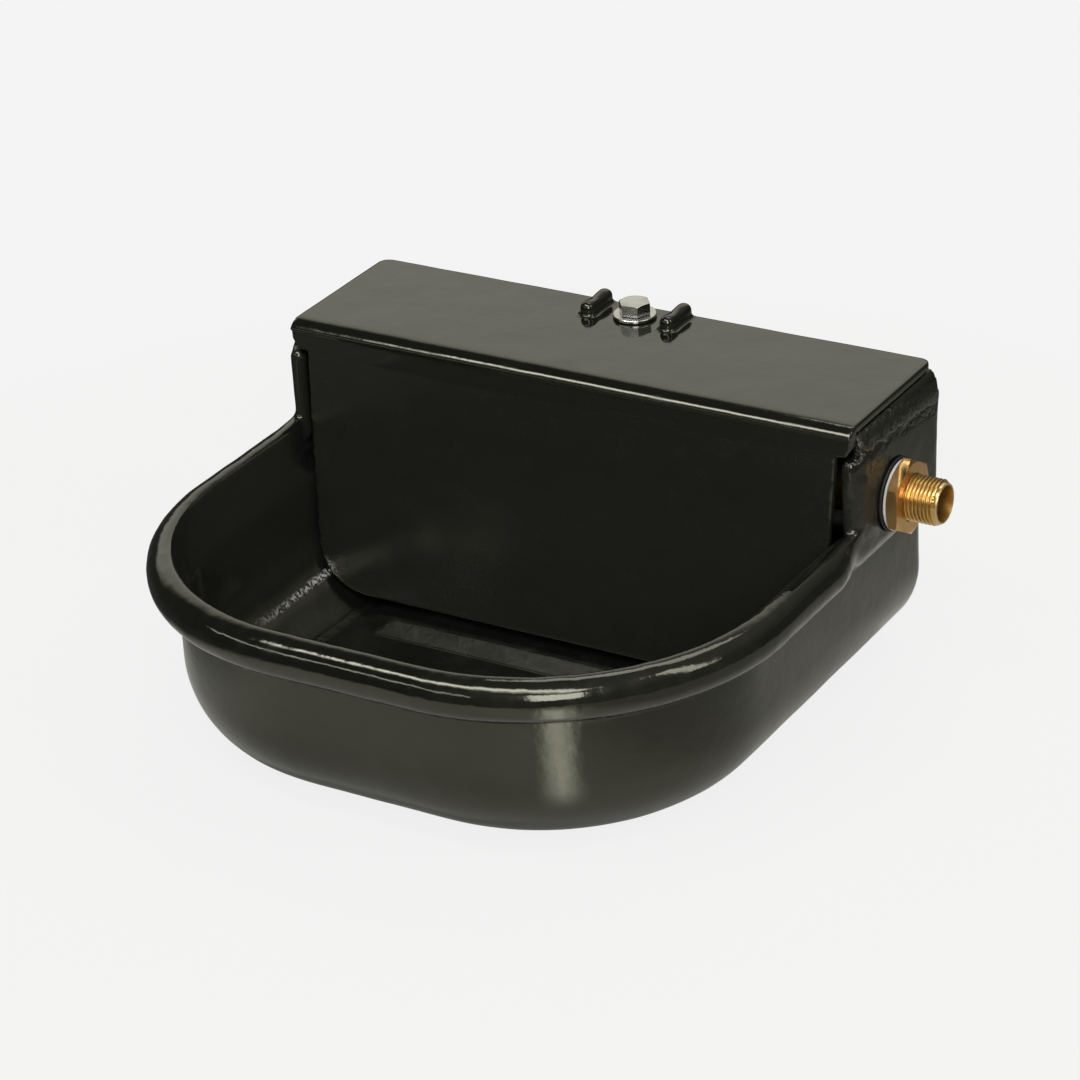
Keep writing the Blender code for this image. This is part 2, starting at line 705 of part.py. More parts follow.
def thread_points(start, turns, radius, depth, pitch):
    """Rings of a thread's outline as (radius, distance), from start outwards."""
    points = []
    for index in range(turns):
        foot = start + index * pitch
        points += [
            (radius - depth, foot + pitch * 0.05),
            (radius, foot + pitch * 0.45),
            (radius, foot + pitch * 0.55),
            (radius - depth, foot + pitch * 0.95),
        ]
    return points


def make_valve_body():
    """The brass body: threaded tail through the wall, flange, and the barrel that guides the piston."""
    thread_start = NUT_X + NUT_THICKNESS - THREAD_PITCH
    core = THREAD_RADIUS - THREAD_DEPTH
    thread = thread_points(thread_start, THREAD_TURNS, THREAD_RADIUS, THREAD_DEPTH, THREAD_PITCH)
    bore_end = NOZZLE_X + NOZZLE_LENGTH - NOZZLE_TIP + RING_THICKNESS + 2 * TOUCH_GAP
    nose = VALVE_CHAMFER
    neck = ORIFICE_RADIUS + VALVE_CHAMFER
    profile = [
        (BARREL_BORE_RADIUS, BARREL_X),
        (BARREL_RADIUS - nose, BARREL_X),
        (BARREL_RADIUS, BARREL_X + nose),
        (BARREL_RADIUS, FLANGE_X),
        (FLANGE_RADIUS, FLANGE_X),
        (FLANGE_RADIUS, FLANGE_X + FLANGE_THICKNESS),
        (core, FLANGE_X + FLANGE_THICKNESS),
    ]
    profile += thread
    profile += [
        (core, INLET_END_X - nose),
        (core - nose, INLET_END_X),
        (INLET_BORE_RADIUS, INLET_END_X),
        (INLET_BORE_RADIUS, bore_end + VALVE_CHAMFER),
        (neck, bore_end + VALVE_CHAMFER),
        (neck, bore_end),
        (BARREL_BORE_RADIUS, bore_end),
    ]
    body = turned("valve_body", profile, BRASS, (0, INLET_Y, INLET_HEIGHT), "X", PLAIN_STEPS)
    centre = (0, INLET_Y, INLET_HEIGHT)
    start = FLANGE_X - SHOULDER_THICKNESS
    shoulder = hex_head("shoulder_guide", SHOULDER_FLATS, start, FLANGE_X + nose, centre, "X", None, 90)
    inside = (BARREL_RADIUS + BARREL_BORE_RADIUS) / 2
    length = 2 * SHOULDER_THICKNESS
    place = (start - nose, INLET_Y, INLET_HEIGHT)
    cut(shoulder, solid_disc("shoulder_drill", inside, length, None, place, "X", DRILL_STEPS))
    join(body, shoulder)
    root = BARREL_X + FORK_ROOT
    outline = arc((PIVOT_X, PIVOT_Z), FORK_HEIGHT / 2, 270, 90, 6)
    outline += [(BARREL_X + 2 * nose, INLET_HEIGHT - 2 * nose), (root, INLET_HEIGHT - 2 * nose)]
    outline += [(root, INLET_HEIGHT - BARREL_BORE_RADIUS), (BARREL_X, PIVOT_Z - FORK_HEIGHT / 2)]
    for side in (-1, 1):
        inner = side * FORK_GAP / 2
        outer = side * (FORK_GAP / 2 + FORK_THICKNESS)
        low_y, high_y = sorted((INLET_Y + inner, INLET_Y + outer))
        join(body, prism("fork_guide", outline, low_y, high_y, None, "XZ"))
    pin_hole = PIVOT_PIN_RADIUS + RUN_GAP
    reach = FORK_GAP + 6 * FORK_THICKNESS
    place = (PIVOT_X, INLET_Y - reach / 2, PIVOT_Z)
    cut(body, solid_disc("pin_drill", pin_hole, reach, None, place, "Y", SMALL_STEPS))
    window = 2.5 * BARREL_RADIUS
    place = (SEAT_X, INLET_Y, INLET_HEIGHT - window)
    cut(body, solid_disc("window_drill", WINDOW_RADIUS, window, None, place, "Z", SMALL_STEPS))
    return smooth(body, 40)


def make_inlet_stack():
    bore = THREAD_RADIUS + RUN_GAP
    rings = {
        "outer_gasket": (GASKET_RADIUS, GASKET_THICKNESS, BLACK_RUBBER, GASKET_X),
        "fibre_washer": (FIBRE_RADIUS, FIBRE_THICKNESS, WHITE_FIBRE, FIBRE_X),
        "inner_gasket": (FLANGE_RADIUS, GASKET_THICKNESS, BLACK_RUBBER, INNER_GASKET_X),
    }
    for name, (radius, thickness, finish, x) in rings.items():
        ring_disc(name, radius, bore, thickness, finish, (x, INLET_Y, INLET_HEIGHT), "X")
    centre = (0, INLET_Y, INLET_HEIGHT)
    nut = hex_head("lock_nut", NUT_FLATS, NUT_X, NUT_X + NUT_THICKNESS, centre, "X", BRASS, 90)
    corner = NUT_FLATS / math.sqrt(3)
    past = NUT_FLATS / 2
    fall = NUT_CROWN_SLOPE * (2 * corner - past)
    crown = [
        (bore, -NUT_THICKNESS),
        (past, -NUT_THICKNESS),
        (past, 0),
        (2 * corner, fall),
        (2 * corner, NUT_THICKNESS - fall),
        (past, NUT_THICKNESS),
        (past, 2 * NUT_THICKNESS),
        (bore, 2 * NUT_THICKNESS),
    ]
    boolean(nut, turned("nut_crown_guide", crown, None, (NUT_X, INLET_Y, INLET_HEIGHT), "X"), "INTERSECT")
    return smooth(nut)


def make_nozzle():
    """The seat insert in the barrel, its narrow tip facing the piston, and the ring behind it."""
    outer = BARREL_BORE_RADIUS - TOUCH_GAP
    end = SEAT_X + NOZZLE_LENGTH
    profile = [
        (ORIFICE_RADIUS, SEAT_X),
        (NOZZLE_TIP_RADIUS, SEAT_X),
        (NOZZLE_TIP_RADIUS + NOZZLE_TIP_FLARE, NOZZLE_X),
        (outer, NOZZLE_X),
        (outer, end),
        (ORIFICE_RADIUS, end),
    ]
    turned("nozzle", profile, BRIGHT_STEEL, (0, INLET_Y, INLET_HEIGHT), "X")
    centre = (end + TOUCH_GAP, INLET_Y, INLET_HEIGHT)
    ring_disc("nozzle_ring", outer, ORIFICE_RADIUS + RING_EASE, RING_THICKNESS, BLACK_RUBBER, centre, "X")


def make_piston():
    """The piston slides in the barrel; at rest it stands back from the nozzle by its whole travel."""
    shift = PISTON_TRAVEL + TOUCH_GAP
    face = SEAT_X - shift - SEAL_PROUD
    outer = BARREL_BORE_RADIUS - RUN_GAP
    pocket = SEAL_RADIUS + TOUCH_GAP
    depth = SEAL_THICKNESS - SEAL_PROUD + TOUCH_GAP
    tail = PIVOT_X - PISTON_TRAVEL - PISTON_NOSE
    profile = [
        (0, tail),
        (outer - PISTON_CHAMFER, tail),
        (outer, tail + PISTON_CHAMFER),
        (outer, face),
        (pocket, face),
        (pocket, face - depth),
        (0, face - depth),
    ]
    piston = turned("piston", profile, BRASS, (0, INLET_Y, INLET_HEIGHT), "X", PLAIN_STEPS)
    slot_x = PIVOT_X - PISTON_TRAVEL
    half_slot = TAPPET_RADIUS + RUN_GAP + SLOT_EASE
    half_wide = LEVER_THICKNESS / 2 + 2 * RUN_GAP
    low = (slot_x - half_slot, INLET_Y - half_wide, INLET_HEIGHT - 2 * outer)
    high = (slot_x + half_slot, INLET_Y + half_wide, INLET_HEIGHT + TAPPET_RADIUS + RUN_GAP)
    cut(piston, block("tappet_slot", low, high))
    seal_x = face - depth + TOUCH_GAP
    place = (seal_x, INLET_Y, INLET_HEIGHT)
    edge = SEAL_PROUD / 2
    solid_disc("piston_seal", SEAL_RADIUS, SEAL_THICKNESS, BLACK_RUBBER, place, "X", PLAIN_STEPS, edge)
    return smooth(piston)


def make_pivot_pin():
    """The pin through the fork, with a head at the front and a split pin through its free end."""
    fork_half = FORK_GAP / 2 + FORK_THICKNESS
    start = INLET_Y - fork_half - TOUCH_GAP - PIN_HEAD_THICKNESS
    length = INLET_Y + fork_half + PIN_END - start
    split_y = INLET_Y + fork_half + 2 * TOUCH_GAP + SPLIT_EYE_RADIUS
    profile = [
        (0, 0),
        (PIN_HEAD_RADIUS, 0),
        (PIN_HEAD_RADIUS, PIN_HEAD_THICKNESS),
        (PIVOT_PIN_RADIUS, PIN_HEAD_THICKNESS),
        (PIVOT_PIN_RADIUS, length),
        (0, length),
    ]
    pin = turned("pivot_pin", profile, BRIGHT_STEEL, (PIVOT_X, start, PIVOT_Z), "Y", SMALL_STEPS)
    hole = SPLIT_RADIUS + TOUCH_GAP
    place = (PIVOT_X, split_y, PIVOT_Z - 2 * PIVOT_PIN_RADIUS)
    cut(pin, solid_disc("split_drill", hole, 4 * PIVOT_PIN_RADIUS, None, place, "Z", 10))
    top = PIVOT_Z + PIVOT_PIN_RADIUS + SPLIT_EYE_RADIUS
    shank = [
        (0, top - SPLIT_LENGTH),
        (SPLIT_RADIUS, top - SPLIT_LENGTH),
        (SPLIT_RADIUS, top),
        (0, top),
    ]
    split = turned("split_pin", shank, BRIGHT_STEEL, (PIVOT_X, split_y, 0), "Z", 10)
    rim = arc((SPLIT_EYE_RADIUS, 0), SPLIT_RADIUS * 0.9, 0, 315, 7)
    place = (PIVOT_X, split_y, top + SPLIT_EYE_RADIUS * 0.8)
    join(split, turned("split_eye_guide", rim, None, place, "X", 16))
    return smooth(pin)


def at_lever(item, pivot):
    item.parent = pivot
    return item


def lever_outline():
    """The lever from the front, about its pivot: the tappet above, the arm to its socket on the left."""
    stem = STEM_WIDTH / 2
    arm = ARM_HALF_HEIGHT
    spread = math.degrees(math.asin(stem / TAPPET_RADIUS))
    points = arc((0, PIVOT_DROP), TAPPET_RADIUS, spread - 90, 270 - spread, 10)
    points += [(-stem, HUB_RADIUS)]
    points += [(-HUB_RADIUS, arm), (-2 * HUB_RADIUS, arm), (-2 * HUB_RADIUS, -arm)]
    points += arc((0, 0), HUB_RADIUS, 220, 360 + math.degrees(math.acos(stem / HUB_RADIUS)), 8)
    return points


def make_lever(pivot):
    """The lever about its pivot; returns how far its socket's hole reaches along X."""
    half = LEVER_THICKNESS / 2
    lever = at_lever(prism("lever", lever_outline(), -half, half, BRASS, "XZ"), pivot)
    start = -SOCKET_REACH
    end = -HUB_RADIUS - SOCKET_SETBACK
    length = end - start
    hole = ROD_RADIUS + TOUCH_GAP
    depth = length - SOCKET_FLOOR
    profile = [
        (hole, 0),
        (SOCKET_RADIUS - END_CHAMFER, 0),
        (SOCKET_RADIUS, END_CHAMFER),
        (SOCKET_RADIUS, length),
        (0, length),
        (0, depth),
        (hole, depth),
    ]
    join(lever, at_lever(turned("socket_guide", profile, None, (start, 0, 0), "X", PLAIN_STEPS), pivot))
    hole_radius = PIVOT_PIN_RADIUS + RUN_GAP
    drill = solid_disc("lever_drill", hole_radius, 4 * half, None, (0, -2 * half, 0), "Y", SMALL_STEPS)
    cut(lever, at_lever(drill, pivot))
    smooth(lever, 35)
    return start + depth


def nut_on_rod(name, x, pivot):
    """A thin nut on the float rod, its far face at x."""
    nut = hex_head(name, ROD_NUT_FLATS, x, x + ROD_NUT_THICKNESS, (0, 0, 0), "X", BRIGHT_STEEL, 30)
    hole = ROD_RADIUS + TOUCH_GAP
    place = (x - ROD_NUT_THICKNESS, 0, 0)
    drill = solid_disc(name + "_drill", hole, 3 * ROD_NUT_THICKNESS, None, place, "X", SMALL_STEPS)
    cut(at_lever(nut, pivot), at_lever(drill, pivot))
    return smooth(nut)


def washer_on_rod(name, x, pivot):
    """A washer on the float rod, its far face at x."""
    hole = ROD_RADIUS + TOUCH_GAP
    washer = ring_disc(
        name, ROD_WASHER_RADIUS, hole, ROD_WASHER_THICKNESS, BRIGHT_STEEL, (x, 0, 0), "X", SMALL_STEPS
    )
    return at_lever(washer, pivot)


def make_float(start, end, pivot):
    """The float's foam block with its tube-shaped ridge, which the rod runs through."""
    low = (start, -FLOAT_WIDTH / 2, -FLOAT_DROP - FLOAT_HEIGHT / 2)
    high = (end, FLOAT_WIDTH / 2, -FLOAT_DROP + FLOAT_HEIGHT / 2)
    float_block = at_lever(block("float", low, high, FLOAT_PLASTIC, FLOAT_EDGE_RADIUS, 4), pivot)
    half = FLOAT_TUBE_RADIUS
    outline = [(-half, -FLOAT_DROP), (half, -FLOAT_DROP)] + arc((0, 0), half, 0, 180, 10)
    ridge = prism("ridge_guide", outline, start - FLOAT_TUBE_PROUD, end + FLOAT_TUBE_PROUD, None, "YZ")
    join(float_block, at_lever(ridge, pivot))
    hole = ROD_RADIUS + TOUCH_GAP
    place = (start - 2 * FLOAT_TUBE_RADIUS, 0, 0)
    length = end - start + 4 * FLOAT_TUBE_RADIUS
    drill = solid_disc("float_drill", hole, length, None, place, "X", SMALL_STEPS)
    cut(float_block, at_lever(drill, pivot))
    return smooth(float_block, 50)


def make_float_arm():
    """Everything that swings with the float, built with the arm level and then let down to its rest."""
    pivot = bpy.data.objects.new("lever_pivot", None)
    bpy.context.scene.collection.objects.link(pivot)
    pivot.location = (PIVOT_X, INLET_Y, PIVOT_Z)
    pivot.rotation_euler = (0, -FLOAT_TRAVEL, 0)
    rod_end = make_lever(pivot) - TOUCH_GAP
    place = (rod_end - ROD_LENGTH, 0, 0)
    rod = solid_disc(
        "float_rod", ROD_RADIUS, ROD_LENGTH, BRIGHT_STEEL, place, "X", SMALL_STEPS, END_CHAMFER
    )
    at_lever(rod, pivot)
    nut_on_rod("rod_lock_nut", -SOCKET_REACH - TOUCH_GAP - ROD_NUT_THICKNESS, pivot)
    near = -FLOAT_START
    far = near - FLOAT_LENGTH
    make_float(far, near, pivot)
    near_washer = near + FLOAT_TUBE_PROUD + TOUCH_GAP
    washer_on_rod("float_near_washer", near_washer, pivot)
    nut_on_rod("float_near_nut", near_washer + ROD_WASHER_THICKNESS + TOUCH_GAP, pivot)
    far_washer = far - FLOAT_TUBE_PROUD - TOUCH_GAP - ROD_WASHER_THICKNESS
    washer_on_rod("float_far_washer", far_washer, pivot)
    nut_on_rod("float_far_nut", far_washer - TOUCH_GAP - ROD_NUT_THICKNESS, pivot)


def main():
    clear_scene()
    make_bowl()
    make_cover()
    make_cover_bolt()
    make_valve_body()
    make_inlet_stack()
    make_nozzle()
    make_piston()
    make_pivot_pin()
    make_float_arm()


main()
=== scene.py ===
import json
from contextlib import contextmanager
from math import acos, asin, cos, degrees, pi, radians, sin, sqrt, tan, tau

import bmesh
import bpy
from bmesh import ops
from mathutils import Matrix, Vector


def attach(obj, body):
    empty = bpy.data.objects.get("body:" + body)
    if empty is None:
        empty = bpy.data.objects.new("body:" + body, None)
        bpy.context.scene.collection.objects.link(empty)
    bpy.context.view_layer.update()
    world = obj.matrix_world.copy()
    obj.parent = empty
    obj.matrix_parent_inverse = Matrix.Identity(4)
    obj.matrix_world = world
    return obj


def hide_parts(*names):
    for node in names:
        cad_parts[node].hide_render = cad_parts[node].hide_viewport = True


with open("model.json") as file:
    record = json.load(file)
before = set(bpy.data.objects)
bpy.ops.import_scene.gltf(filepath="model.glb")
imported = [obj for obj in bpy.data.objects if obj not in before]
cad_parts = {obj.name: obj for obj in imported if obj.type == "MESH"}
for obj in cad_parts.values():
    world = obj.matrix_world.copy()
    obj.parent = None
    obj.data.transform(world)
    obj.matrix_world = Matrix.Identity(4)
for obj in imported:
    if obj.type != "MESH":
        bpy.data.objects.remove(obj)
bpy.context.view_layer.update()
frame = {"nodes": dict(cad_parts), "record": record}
mm = 0.001


def inMetres(**sizes):
    # a piece's lengths and places, written in millimetres
    def scaled(value):
        return tuple(scaled(one) for one in value) if isinstance(value, tuple) else value * mm

    return {name: scaled(value) for name, value in sizes.items()}


# shapes: small helpers around bmesh and the modifiers

def linked(name, data):
    made = bpy.data.objects.new(name, data)
    bpy.context.scene.collection.objects.link(made)
    return made


def asObject(name, shape):
    mesh = bpy.data.meshes.new(name)
    shape.to_mesh(mesh)
    shape.free()
    return linked(name, mesh)


def newObject(name, shape):
    ops.remove_doubles(shape, verts=shape.verts, dist=0.0005 * mm)
    ops.recalc_face_normals(shape, faces=shape.faces)
    return asObject(name, shape)


@contextmanager
def opened(made):
    # a mesh that is changed through bmesh and put back
    shape = bmesh.new()
    shape.from_mesh(made.data)
    yield shape
    shape.to_mesh(made.data)
    shape.free()


def vertsIn(items):
    return [item for item in items if isinstance(item, bmesh.types.BMVert)]


def edgesIn(items):
    return [item for item in items if isinstance(item, bmesh.types.BMEdge)]


def modify(made, kind, **settings):
    step = made.modifiers.new(kind, kind)
    for name, value in settings.items():
        setattr(step, name, value)
    return step


def settle(made):
    # bakes the modifiers into the mesh
    graph = bpy.context.evaluated_depsgraph_get()
    mesh = bpy.data.meshes.new_from_object(made.evaluated_get(graph))
    made.modifiers.clear()
    made.data = mesh
    return made


def carve(made, other, operation="DIFFERENCE"):
    modify(made, "BOOLEAN", operation=operation, solver="EXACT", object=other)
    settle(made)
    bpy.data.objects.remove(other)
    return made


def gather(name, pieces):
    # lays several closed shells in one mesh
    shape = bmesh.new()
    for piece in pieces:
        shape.from_mesh(piece.data)
        bpy.data.objects.remove(piece)
    made = asObject(name, shape)
    made.data.shade_smooth()
    made.data.set_sharp_from_angle(angle=radians(50))
    modify(made, "WEIGHTED_NORMAL", keep_sharp=True)
    return settle(made)


def dent(made, size, depth, low=None, high=None):
    # shallow unevenness of a hand-poured casting, fading in between the heights low and high
    clouds = bpy.data.textures.new("dents", "CLOUDS")
    clouds.noise_scale = size
    clouds.noise_depth = 1
    step = modify(made, "DISPLACE", texture=clouds, texture_coords="LOCAL", mid_level=0.5, strength=depth)
    if low is not None:
        group = made.vertex_groups.new(name="dented")
        for vertex in made.data.vertices:
            group.add([vertex.index], smoothStep(vertex.co.z, low, high), "REPLACE")
        step.vertex_group = group.name
    settle(made)
    made.vertex_groups.clear()


def melt(made, settings):
    # remeshes, so that every corner gets the soft fillet that enamel leaves, then thins out the flat places
    modify(made, "REMESH", mode="VOXEL", voxel_size=settings["grain"])
    modify(made, "SMOOTH", factor=0.5, iterations=settings["rounds"])
    settle(made)
    for one in settings["dents"]:
        dent(made, *one)
    made.data.calc_loop_triangles()
    count = len(made.data.loop_triangles)
    if count > settings["triangles"]:
        modify(made, "DECIMATE", ratio=settings["triangles"] / count)
        settle(made)
    made.data.shade_smooth()
    print("  ", made.name, count, "triangles before thinning")


def soften(made, width, segments=2, angle=30):
    modify(
        made, "BEVEL", width=width, segments=segments, limit_method="ANGLE", angle_limit=radians(angle),
        harden_normals=True,
    )
    made.data.shade_smooth()
    return settle(made)


def arcPoints(centre, radius, start, end, steps):
    points = []
    for index in range(steps + 1):
        angle = radians(start + (end - start) * index / steps)
        points.append((centre[0] + radius * cos(angle), centre[1] + radius * sin(angle)))
    return points


def smoothStep(value, low, high):
    share = min(max((value - low) / (high - low), 0), 1)
    return share * share * (3 - 2 * share)


def bothSides(side):
    # an outline's right half and its mirror image, joined
    return side + [(-x, y) for x, y in reversed(side)]


def closedLoop(shape, points):
    corners = [shape.verts.new(point) for point in points]
    return corners, [shape.edges.new((corners[index - 1], corner)) for index, corner in enumerate(corners)]


def raiseRings(name, rings):
    # one loop of edges, extruded level by level, each level laid on its own plan
    shape = bmesh.new()
    order = shape.verts.layers.int.new("order")
    loop, edges = closedLoop(shape, rings[0])
    for index, vertex in enumerate(loop):
        vertex[order] = index
    ops.contextual_create(shape, geom=edges)
    for ring in rings[1:]:
        grown = ops.extrude_edge_only(shape, edges=edges)["geom"]
        fresh = set(vertsIn(grown))
        edges = [edge for edge in edgesIn(grown) if set(edge.verts) <= fresh]
        for vertex in fresh:
            vertex.co = ring[vertex[order]]
    ops.contextual_create(shape, geom=edges)
    ops.triangulate(shape, faces=shape.faces)
    return newObject(name, shape)


def pushOut(name, outline, start, end, plane="XY"):
    # a flat outline, extruded along the axis that its plane leaves out
    lift = {"XY": (0, 0, 1), "XZ": (0, 1, 0), "YZ": (1, 0, 0)}[plane]
    shape = bmesh.new()
    corners = []
    for across, up in outline:
        place = {"XY": (across, up, start), "XZ": (across, start, up), "YZ": (start, across, up)}[plane]
        corners.append(shape.verts.new(place))
    face = shape.faces.new(corners)
    grown = ops.extrude_face_region(shape, geom=[face])["geom"]
    ops.translate(shape, verts=vertsIn(grown), vec=Vector(lift) * (end - start))
    return newObject(name, shape)


def bevelEdges(shape, edges, offset, segments):
    ops.bevel(shape, geom=edges, offset=offset, segments=segments, profile=0.5, affect="EDGES", material=-1)


def sliced(shape, place, normal, clear=False):
    # cuts the whole shape at a plane and gives the edges of the cut
    whole = shape.verts[:] + shape.edges[:] + shape.faces[:]
    cut = ops.bisect_plane(shape, geom=whole, plane_co=place, plane_no=normal, clear_outer=clear)
    return edgesIn(cut["geom_cut"])


def layAlong(shape, along, centre):
    # a shape made upright is turned onto its axis and moved to its place
    if along == "X":
        ops.rotate(shape, verts=shape.verts, matrix=Matrix.Rotation(pi / 2, 3, "Y"))
    if along == "Y":
        ops.rotate(shape, verts=shape.verts, matrix=Matrix.Rotation(-pi / 2, 3, "X"))
    ops.translate(shape, verts=shape.verts, vec=centre)


def boxShape(name, low, high, bevel=0.0, segments=3):
    shape = bmesh.new()
    ops.create_cube(shape, size=1.0)
    ops.scale(shape, verts=shape.verts, vec=Vector(high) - Vector(low))
    ops.translate(shape, verts=shape.verts, vec=(Vector(high) + Vector(low)) / 2)
    if bevel:
        bevelEdges(shape, shape.edges, bevel, segments)
    return newObject(name, shape)


def chamfered(points):
    # a corner that has a third value is cut off by that much along both its sides
    outline = []
    for index, (across, up, *cut) in enumerate(points):
        if not cut:
            outline.append((across, up))
            continue
        for other in (points[index - 1], points[(index + 1) % len(points)]):
            aside = (other[0] > across) - (other[0] < across)
            along = (other[1] > up) - (other[1] < up)
            outline.append((across + cut[0] * aside, up + cut[0] * along))
    return outline


def turnProfile(name, profile, centre=(0, 0, 0), along="Z", steps=64):
    # a closed outline of radius and height, spun a full turn about its own axis
    shape = bmesh.new()
    corners, edges = closedLoop(shape, [(radius, 0, height) for radius, height in chamfered(profile)])
    ops.spin(
        shape, geom=corners + edges, cent=(0, 0, 0), axis=(0, 0, 1), angle=tau, steps=steps, use_merge=True
    )
    ops.remove_doubles(shape, verts=shape.verts, dist=0.001 * mm)
    poles = [vertex for vertex in shape.verts if vertex.co.xy.length < 0.001 * mm]
    ops.dissolve_verts(shape, verts=poles)
    layAlong(shape, along, centre)
    return newObject(name, shape)


def drill(made, radius, start, end, centre, along="Z", steps=48):
    profile = [(0, start), (radius, start), (radius, end), (0, end)]
    return carve(made, turnProfile("drill", profile, centre, along, steps))


def hexShape(name, flats, start, end, centre, along="Z", turn=0.0):
    shape = bmesh.new()
    corner = flats / sqrt(3)
    ops.create_cone(shape, cap_ends=True, segments=6, radius1=corner, radius2=corner, depth=end - start)
    ops.rotate(shape, verts=shape.verts, matrix=Matrix.Rotation(radians(turn), 3, "Z"))
    ops.translate(shape, verts=shape.verts, vec=(0, 0, (start + end) / 2))
    layAlong(shape, along, centre)
    return newObject(name, shape)


def threadRidge(name, start, turns, radius, depth, pitch, centre=(0, 0, 0), along="X", steps=48):
    # one closed section wound round the axis
    shape = bmesh.new()
    foot = radius - depth - 0.15 * pitch
    shares = [(0.04, foot), (0.35, radius - 0.22 * depth), (0.43, radius - 0.04 * depth), (0.5, radius)]
    shares += [(1 - place, across) for place, across in reversed(shares[:3])]
    corners, edges = closedLoop(shape, [(0, across, start + place * pitch) for place, across in shares])
    ops.contextual_create(shape, geom=edges)
    grown = ops.spin(
        shape, geom=corners + edges, cent=(0, 0, 0), axis=(0, 0, 1), dvec=(0, 0, pitch / steps),
        angle=tau * turns, steps=steps * turns, use_merge=False,
    )["geom_last"]
    ops.contextual_create(shape, geom=edgesIn(grown))
    layAlong(shape, along, centre)
    ops.triangulate(shape, faces=shape.faces)
    return newObject(name, shape)


def nutShape(name, flats, start, end, hole, centre, turn, slope, edge):
    # a hexagon whose corners are turned off on both faces, drilled through
    made = hexShape(name, flats, start, end, centre, "X", turn)
    past = flats / 2
    reach = 1.06 * flats / sqrt(3)
    fall = slope * (reach - past)
    crown = [
        (hole, start - mm), (past, start - mm), (past, start), (reach, start + fall),
        (reach, end - fall), (past, end), (past, end + mm), (hole, end + mm),
    ]
    carve(made, turnProfile("nutCrown", crown, centre, "X", 96), "INTERSECT")
    return soften(made, edge)


# finishes: nodes are made by one method, and sums on their outputs add Math nodes

class Level:
    def __init__(self, finish, socket):
        self.finish = finish
        self.socket = socket

    def maths(self, operation, first, second=0.0):
        return self.finish.node("Math", {"operation": operation}, {0: first, 1: second})

    def __add__(self, other):
        return self.maths("ADD", self, other)

    def __radd__(self, other):
        return self.maths("ADD", other, self)

    def __sub__(self, other):
        return self.maths("SUBTRACT", self, other)

    def __rsub__(self, other):
        return self.maths("SUBTRACT", other, self)

    def __mul__(self, other):
        return self.maths("MULTIPLY", self, other)

    def __rmul__(self, other):
        return self.maths("MULTIPLY", other, self)

    def __pow__(self, other):
        return self.maths("POWER", self, other)

    def between(self, low, high):
        # 0 below low, 1 above high, with a soft step
        settings = {"interpolation_type": "SMOOTHSTEP"}
        return self.finish.node("MapRange", settings, {0: self, 1: low, 2: high, 3: 0.0, 4: 1.0})


class Finish:
    def __init__(self, name):
        self.material = bpy.data.materials.new(name)
        self.material.use_nodes = True
        self.tree = self.material.node_tree
        self.tree.nodes.clear()
        self.places = self.node("TexCoord", output="Object")

    def node(self, kind, settings=None, sockets=None, output=0):
        made = self.tree.nodes.new("ShaderNode" + kind)
        for name, value in (settings or {}).items():
            setattr(made, name, value)
        for name, value in (sockets or {}).items():
            if isinstance(value, Level):
                self.tree.links.new(value.socket, made.inputs[name])
            else:
                made.inputs[name].default_value = value
        return None if output is None else Level(self, made.outputs[output])

    def axis(self, name, places=None):
        return self.node("SeparateXYZ", {}, {0: places or self.places}, name)

    def vectors(self, operation, first, second=(0, 0, 0), output="Value"):
        return self.node("VectorMath", {"operation": operation}, {0: first, 1: second}, output)

    def stretched(self, scale):
        return self.node("Mapping", {}, {"Vector": self.places, "Scale": scale})

    def noise(self, size, detail=3.0, rough=0.55, stretch=None):
        # soft noise whose marks are about size metres across
        places = self.stretched(stretch) if stretch else self.places
        values = {"Vector": places, "Scale": 1 / size, "Detail": detail, "Roughness": rough}
        return self.node("TexNoise", {}, values)

    def spots(self, size):
        return self.node("TexVoronoi", {}, {"Vector": self.places, "Scale": 1 / size})

    def blend(self, share, first, second):
        return self.node("Mix", {"data_type": "RGBA"}, {0: share, 6: first, 7: second}, 2)

    def relief(self, height, depth, strength):
        return self.node("Bump", {}, {"Height": height, "Distance": depth, "Strength": strength})

    def emission(self, colour, strength):
        return self.node("Emission", {}, {"Color": colour, "Strength": strength})

    def mix(self, share, first, second):
        return self.node("MixShader", {}, {0: share, 1: first, 2: second})

    def surface(self, sockets):
        self.out(self.node("BsdfPrincipled", {}, sockets))
        return self.material

    def out(self, shader):
        self.node("OutputMaterial", {}, {"Surface": shader}, None)


enamelLook = {
    "deep": (0.0062, 0.0063, 0.0053, 1),
    # inside and floor: the same black enamel, painted lighter on the hollow's walls and darker on its
    # floor, as painted light and shade
    "inside": (0.0190, 0.0188, 0.0160, 1),
    "floor": (0.0066, 0.0066, 0.0056, 1),
    # pale specks: whitish specks in the enamel with painted glints; also the colour of the painted glint on
    # the cover plate
    "crumbs": (0.52, 0.52, 0.48, 1),
    # plate: the same enamel painted lighter, a painted sheen for the cover plate's hazy reflection
    "plate": (0.0205, 0.0208, 0.0176, 1),
    "worn": (0.020, 0.0195, 0.016, 1),
    "gloss": 0.09,
    "haze": 0.09,
    "tint": (1.0, 1.0, 0.80, 1),
    "scarHeights": (0.1182, 0.1240, 0.1300, 0.1335),
    "inletSide": (0.0, 0.068, 0.104),
    # a pale spot painted as a glint on the plate's lower left edge
    "edgeGlint": (-0.1262, 0.0440, 0.0195),
    # pale tone of the scar's lumps: partly the rough scar's own tone, partly painted light on the lumps
    "scarTintAndLight": (0.060, 0.059, 0.050, 1),
}


